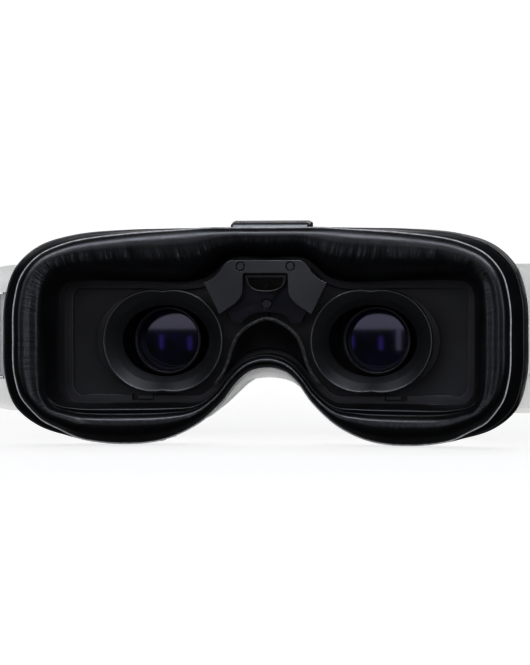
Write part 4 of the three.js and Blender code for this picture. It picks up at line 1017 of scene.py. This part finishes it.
# ---- Eyepieces ----
def two_arc_outline(radius_x, radius_z, turn):
    """Outline of two equal ellipses set side by side: their outermost edge, with a kink where they meet."""
    kink = 3.2
    width = radius_x - kink
    side = np.where(np.cos(turn) >= 0, 1, -1)
    u = np.abs(np.cos(turn))
    # The ray from the middle meets the ellipse (x - kink)^2 / width^2 + z^2 / radius_z^2 = 1.
    a = (u / width) ** 2 + (np.sin(turn) / radius_z) ** 2
    b = -2 * u * kink / width**2
    c = (kink / width) ** 2 - 1
    r = (-b + np.sqrt(b * b - 4 * a * c)) / (2 * a)
    return side * u * r, np.sin(turn) * r


def dish(side, steps):
    """Funnel dish as rings: the rim follows two arcs, the mouth is a plain oval, and between them each
    ring mixes both. A black skirt stands wider behind the rim, set towards the temple: painted shade for the
    dark gap round the rim."""
    # Ring: half width, half height, depth, shift to the temple, share of the kinked outline.
    corners = np.array(
        [
            (RIM_WIDE, RIM_HIGH, DISH_DEPTH + 0.4, 0, 1),
            (RIM_WIDE - 0.5, RIM_HIGH - 0.5, DISH_DEPTH, 0, 1),
            (RIM_WIDE - 1, RIM_HIGH - 1, DISH_DEPTH + 0.5, 0, 1),
            (15.95, 13.0, (DISH_DEPTH + DISH_FLOOR) / 2, 0, 0.4),
            (13.75, 11.1, DISH_FLOOR, 0, 0),
            (13.75, 11.1, DISH_FLOOR + 1.4, 0, 0),
            (15.3, 12.35, DISH_FLOOR + 1.6, 0, 0),
            (15.3, 12.35, DISH_BACK, 0, 0),
            (16.9, 13.95, DISH_BACK, 0, 0),
            (16.9, 13.95, DISH_DEPTH + 3.2, 0, 0),
            (20.0, 16.3, DISH_DEPTH + 2.6, 1.1, 0),
            (20.0, 16.3, DISH_DEPTH + 1.4, 1.1, 0),
            (RIM_WIDE, RIM_HIGH, DISH_DEPTH + 1.4, 0, 1),
        ]
    )
    rings = filleted(corners, 0.18, 3)
    turn = np.linspace(0, 2 * np.pi, steps, endpoint=False)
    kinked = two_arc_outline(RIM_WIDE, RIM_HIGH, turn)
    ux, uz = kinked[0] / RIM_WIDE, kinked[1] / RIM_HIGH
    share = rings[:, 4:5]
    x = rings[:, 3:4] + rings[:, :1] * (share * ux + (1 - share) * np.cos(turn))
    z = rings[:, 1:2] * (share * uz + (1 - share) * np.sin(turn))
    y = np.repeat(rings[:, 2:3], steps, axis=1)
    return np.stack([side * (DISH_X + x), y, EYE_HEIGHT + z], axis=-1)


class GOGGLES_OT_dishes(Operator):
    """Eye dishes: oval rings joined from rim to mouth and back, for each eye"""

    bl_idname = "goggles.dishes"
    bl_label = "Eye dishes"

    def execute(self, context):
        steps = context.scene.goggles_eyes.rim_steps
        black = finish(moulded_grey, "pc_abs_dish", "#17181a", "#1d1e20", (0.36, 0.46))
        # The rim bead's lighter grey is a painted highlight along the dish's rounded rim edge.
        bright = finish(moulded_grey, "pc_abs_rim", "#3a3b3d", "#444547", (0.2, 0.28))
        for name, side in (("right", 1), ("left", -1)):
            made = carried(f"dish_{name}", dish(side, steps), black, "housing")
            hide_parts(f"eye_dish_{name}")
            # The skirt behind the rim and everything further back is painted near black: painted shade for
            # the dark gap round the rim, wider on the temple side.
            made.data.materials.append(finish(satin_black))
            rings = len(made.data.polygons) // steps
            dark = np.arange(rings) / rings > 0.6
            made.data.polygons.foreach_set("material_index", np.repeat(dark, steps).astype(np.int32))
            turn = np.linspace(0, 2 * np.pi, steps, endpoint=False)
            ux, uz = two_arc_outline(RIM_WIDE - 0.45, RIM_HIGH - 0.45, turn)
            depth = np.full(steps, DISH_DEPTH + 0.05)
            path = np.stack([side * (DISH_X + ux), depth, EYE_HEIGHT + uz], axis=1)
            tube(f"dish_rim_{name}", path, 0.22, bright, "housing")
        return {"FINISHED"}


class GOGGLES_OT_eyepieces(Operator):
    """Eyepieces: a lens turned from two shallow parabolas, a trim ring turned from a rounded section,
    and the moulded carriage behind them"""

    bl_idname = "goggles.eyepieces"
    bl_label = "Eyepieces"

    def execute(self, context):
        made = context.scene.goggles_eyes
        radius, bulge = made.lens_radius, made.lens_bulge
        t = np.linspace(0, 1, 28)
        front = np.stack([radius * t, LENS_EDGE - bulge * (1 - t**2)], axis=1)
        back = np.stack([radius * t, LENS_EDGE + 3.8 - 1.2 * t**2], axis=1)[::-1]
        lens = np.concatenate([front, back])
        corners = [(9.75, 40.2), (9.75, 39.5), (9.95, 39.1), (10.5, 39.1), (10.7, 39.4), (10.7, 40.2)]
        ring = filleted(corners, 0.1, 3)
        satin = finish(satin_black)
        for name, side in (("right", 1), ("left", -1)):
            body = f"{name}_eyepiece"
            centre = (side * EYE_X, EYE_HEIGHT)
            glass = turned(f"lens_{name}", lens, centre, finish(coated_lens), body)
            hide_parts(f"eye_lens_{name}")
            grey = finish(moulded_grey, "pc_abs_trim", "#141417", "#1c1c20", (0.2, 0.28))
            trim = turned(f"trim_ring_{name}", ring, centre, grey, body)
            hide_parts(f"lens_ring_{name}")
            dress(f"eyepiece_{name}", satin, 0.15)
            paint(f"field_lens_{name}", finish(coated_lens))
            paint(f"display_{name}", finish(polished_black))
            paint(f"display_board_{name}", finish(solder_mask))
        return {"FINISHED"}


class GOGGLES_OT_bracket(Operator):
    """Middle bracket, nose plate, sensor window and their plugs, with rounded edges"""

    bl_idname = "goggles.bracket"
    bl_label = "Middle bracket"

    def execute(self, context):
        grey = finish(moulded_grey, "pc_abs_bracket", "#27282a", "#303134", (0.28, 0.38))
        polished = finish(moulded_grey, "pc_abs_nose_plate", "#101115", "#17181d", (0.16, 0.24))
        glossy = finish(moulded_grey, "pc_abs_sensor_frame", "#141517", "#1b1c1e", (0.2, 0.28))
        satin = finish(moulded_grey, "pc_abs_plug", "#16171b", "#1d1e22", (0.3, 0.4))
        dress("center_bracket", grey, 0.8)
        dress("nose_plate", polished, 0.9)
        dress("sensor_window", glossy, 0.15)
        dress("sensor_board", finish(infrared_window), 0.08)
        dress("nose_plug", satin, 0.15)
        for name in ("bracket_plug_right", "bracket_plug_left"):
            dress(name, grey, 0.06)
        return {"FINISHED"}


class GOGGLES_OT_housing(Operator):
    """Housing: shells, front plate, control pod and strap loops, their moulded edges rounded"""

    bl_idname = "goggles.housing"
    bl_label = "Housing"

    def execute(self, context):
        made = context.scene.goggles_housing
        edge, white = made.edge, finish(white_abs, *around(made.shell, 0.05))
        dress("rear_shell", white, edge)
        dress("front_shell", white, edge)
        dress("visor_plate", finish(smoked_visor), edge)
        pod_grey = finish(moulded_grey, "pc_abs_pod", "#3a3c3f", "#45474a", (0.3, 0.4))
        dress("top_module", pod_grey, 0.3)
        for name in ("strap_loop_right", "strap_loop_left"):
            dress(name, finish(soft_polyamide), 0.4)
        return {"FINISHED"}


class GOGGLES_OT_controls(Operator):
    """Wheel, buttons, ports, sockets, pins and screws"""

    bl_idname = "goggles.controls"
    bl_label = "Controls and fittings"

    def execute(self, context):
        grey = finish(moulded_grey, "pc_abs_keys", "#2e3033", "#3a3c3f", (0.36, 0.46))
        buttons = [f"{name}_button" for name in ("power", "menu", "channel_down", "channel_up")]
        for name in ["ipd_wheel"] + buttons:
            dress(name, grey, 0.25)
        for name in ("dc_jack", "av_jack"):
            dress(name, finish(satin_black), 0.15)
        steel = finish(drawn_steel)
        for side in ("right", "left"):
            dress(f"antenna_socket_{side}", finish(gilt_brass), 0.15)
            dress(f"strap_pin_{side}", steel, 0.1)
            dress(f"shell_screw_lower_{side}", steel, 0.1)
            dress(f"shell_screw_upper_{side}", steel, 0.1)
        return {"FINISHED"}


class GOGGLES_OT_inner_works(Operator):
    """Rails, pinion, boards, reader, receiver and fan"""

    bl_idname = "goggles.inner_works"
    bl_label = "Inner works"

    def execute(self, context):
        steel = finish(drawn_steel)
        metal = ["ipd_pinion", "upper_rail", "lower_rail_right", "lower_rail_left"]
        for name in metal + ["receiver_module", "card_reader"]:
            dress(name, steel, 0.08)
        paint("main_board", finish(solder_mask))
        dress("fan_frame", finish(satin_black), 0.2)
        dress("fan_rotor", finish(satin_black), 0.1)
        return {"FINISHED"}


class GOGGLES_OT_stage(Operator):
    """Stage: white paper that lies flat and curves up all round, soft boxes and the camera"""

    bl_idname = "goggles.stage"
    bl_label = "Studio"

    def execute(self, context):
        made = context.scene.goggles_stage
        # The paper's profile turned about the upright axis: flat, a quarter circle, then a wall.
        floor, curve, wall = 2200, 600, 6000
        bend = np.linspace(0, np.pi / 2, 16)
        radius = np.concatenate([[0.001, 300], floor + curve * np.sin(bend), [floor + curve]])
        height = np.concatenate([[0, 0], curve * (1 - np.cos(bend)), [wall + made.drop]]) - made.drop
        turn = np.linspace(0, 2 * np.pi, 72, endpoint=False)
        x, y = radius[:, None] * np.cos(turn), radius[:, None] * np.sin(turn) - DEPTH_ZERO
        points = np.stack([x, y, np.repeat(height[:, None], len(turn), axis=1)], axis=-1).reshape(-1, 3)
        faces = ring_faces(len(radius), len(turn), close_rows=False)[:, ::-1]
        # The floor bounces soft light, the wall is too far off to light anything, and the dark parts
        # mirror only the lamps and the dim room.
        level, white = 2 * len(turn), finish(backdrop_paper)
        sheets = (("studio_floor", faces[:level], True), ("studio_wall", faces[level:], False))
        for name, quads, lights in sheets:
            used, kept = np.unique(quads, return_inverse=True)
            paper = mesh_object(name, points[used], kept.reshape(quads.shape), white, "housing", flat=True)
            # The paper is no part of the goggles, so it rides on nothing.
            paper.parent = None
            del paper["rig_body"]
            paper.visible_glossy, paper.visible_diffuse = False, lights

        def softbox(name, place, size, radiance, colour="#ffffff", matt=True, mirrored=True):
            """A rectangular lamp aimed at the goggles: its power is its radiance times pi times its area.
            One that isn't mirrored only brightens matt surfaces, as light from far white walls does, and
            one that isn't for matt surfaces only makes highlights, as a narrow strip lamp does."""
            lamp = bpy.data.lights.new(name, "AREA")
            lamp.shape, lamp.size, lamp.size_y = "RECTANGLE", size[0], size[1]
            lamp.energy = radiance * math.pi * size[0] * size[1]
            lamp.color = linear(colour)[:3]
            box = bpy.data.objects.new(name, lamp)
            box.location = place
            box.rotation_mode = "QUATERNION"
            box.rotation_quaternion = (Vector((0, 0, 0.035)) - Vector(place)).to_track_quat("-Z", "Y")
            box.visible_camera = False
            box.visible_diffuse, box.visible_glossy = matt, mirrored
            bpy.context.scene.collection.objects.link(box)

        softbox("wall_light", (0, -1.6, 0.6), (2.4, 1.4), 1.4, mirrored=False)
        softbox("ceiling_light", (0, 0.2, 0.95), (1.2, 0.8), 1.7, mirrored=False)
        softbox("front_softbox", (0, -0.85, 0.27), (1.3, 0.34), 0.85, "#f2f0ff")
        softbox("top_softbox", (0, -0.38, 0.62), (0.8, 0.32), 12.0, "#f0f4ff", matt=False)
        softbox("right_softbox", (0.5, -0.52, 0.16), (0.15, 0.42), 7.0, "#eef2ff", matt=False)
        softbox("left_softbox", (-0.5, -0.52, 0.16), (0.15, 0.42), 5.2, "#eef2ff", matt=False)
        softbox("rear_softbox", (0, 1.0, 0.55), (1.6, 0.3), 1.6, matt=False)
        # Narrow lamps that only the lenses mirror clearly, as upright streaks and a bright edge.
        softbox("violet_left", (-0.29, -1.05, 0.0), (0.035, 0.13), 1.1, "#8a70ff", matt=False)
        softbox("violet_right", (-0.02, -1.1, -0.01), (0.04, 0.13), 1.1, "#8f6cff", matt=False)
        softbox("edge_streak", (0.15, -1.1, 0.02), (0.05, 0.2), 0.8, "#e8e4ff", matt=False)

        world = bpy.data.worlds.new("studio_air")
        world.use_nodes = True
        world.node_tree.nodes["Background"].inputs["Color"].default_value = (0.9, 0.95, 1.0, 1)
        world.node_tree.nodes["Background"].inputs["Strength"].default_value = 0.03
        context.scene.world = world
        context.scene.view_settings.view_transform = "Standard"
        context.scene.view_settings.gamma = 0.78

        camera = bpy.data.objects.new("camera", bpy.data.cameras.new("camera"))
        bpy.context.scene.collection.objects.link(camera)
        camera.data.lens = made.focal
        camera.data.clip_start, camera.data.clip_end = 0.02, 50
        a, e = math.radians(made.azimuth), math.radians(made.elevation)
        back = Vector((math.sin(a) * math.cos(e), -math.cos(a) * math.cos(e), math.sin(e)))
        camera.location = Vector(made.aim) + back * made.distance
        camera.rotation_mode = "QUATERNION"
        camera.rotation_quaternion = (-back).to_track_quat("-Z", "Y")
        context.scene.camera = camera
        return {"FINISHED"}


OPERATORS = [
    GOGGLES_OT_stage,
    GOGGLES_OT_cushion,
    GOGGLES_OT_bezel,
    GOGGLES_OT_bracket,
    GOGGLES_OT_nose_flap,
    GOGGLES_OT_dishes,
    GOGGLES_OT_eyepieces,
    GOGGLES_OT_housing,
    GOGGLES_OT_controls,
    GOGGLES_OT_inner_works,
]


class GOGGLES_PT_panel(Panel):
    """Lists the goggles' settings and the operators that build them"""

    bl_label = "Video Goggles"
    bl_idname = "GOGGLES_PT_panel"
    bl_space_type = "VIEW_3D"
    bl_region_type = "UI"
    bl_category = "Goggles"

    def draw(self, context):
        for group in (getattr(context.scene, name) for name in SETTINGS):
            box = self.layout.box()
            for key in group.bl_rna.properties.keys():
                if key not in {"rna_type", "name"}:
                    box.prop(group, key)
        for operator in OPERATORS:
            self.layout.operator(operator.bl_idname)


SETTINGS = {
    "goggles_gasket": GogglesGasketSettings,
    "goggles_eyes": GogglesEyeSettings,
    "goggles_housing": GogglesHousingSettings,
    "goggles_stage": GogglesStageSettings,
}


def register():
    for group in SETTINGS.values():
        bpy.utils.register_class(group)
    for kind in OPERATORS + [GOGGLES_PT_panel]:
        bpy.utils.register_class(kind)
    for name, group in SETTINGS.items():
        setattr(bpy.types.Scene, name, PointerProperty(type=group))


def unregister():
    for name in SETTINGS:
        delattr(bpy.types.Scene, name)
    for kind in [GOGGLES_PT_panel] + OPERATORS[::-1] + list(SETTINGS.values()):
        bpy.utils.unregister_class(kind)


def main():
    register()
    for operator in OPERATORS:
        category, name = operator.bl_idname.split(".")
        getattr(getattr(bpy.ops, category), name)()
    bpy.context.view_layer.update()


if __name__ == "__main__":
    main()
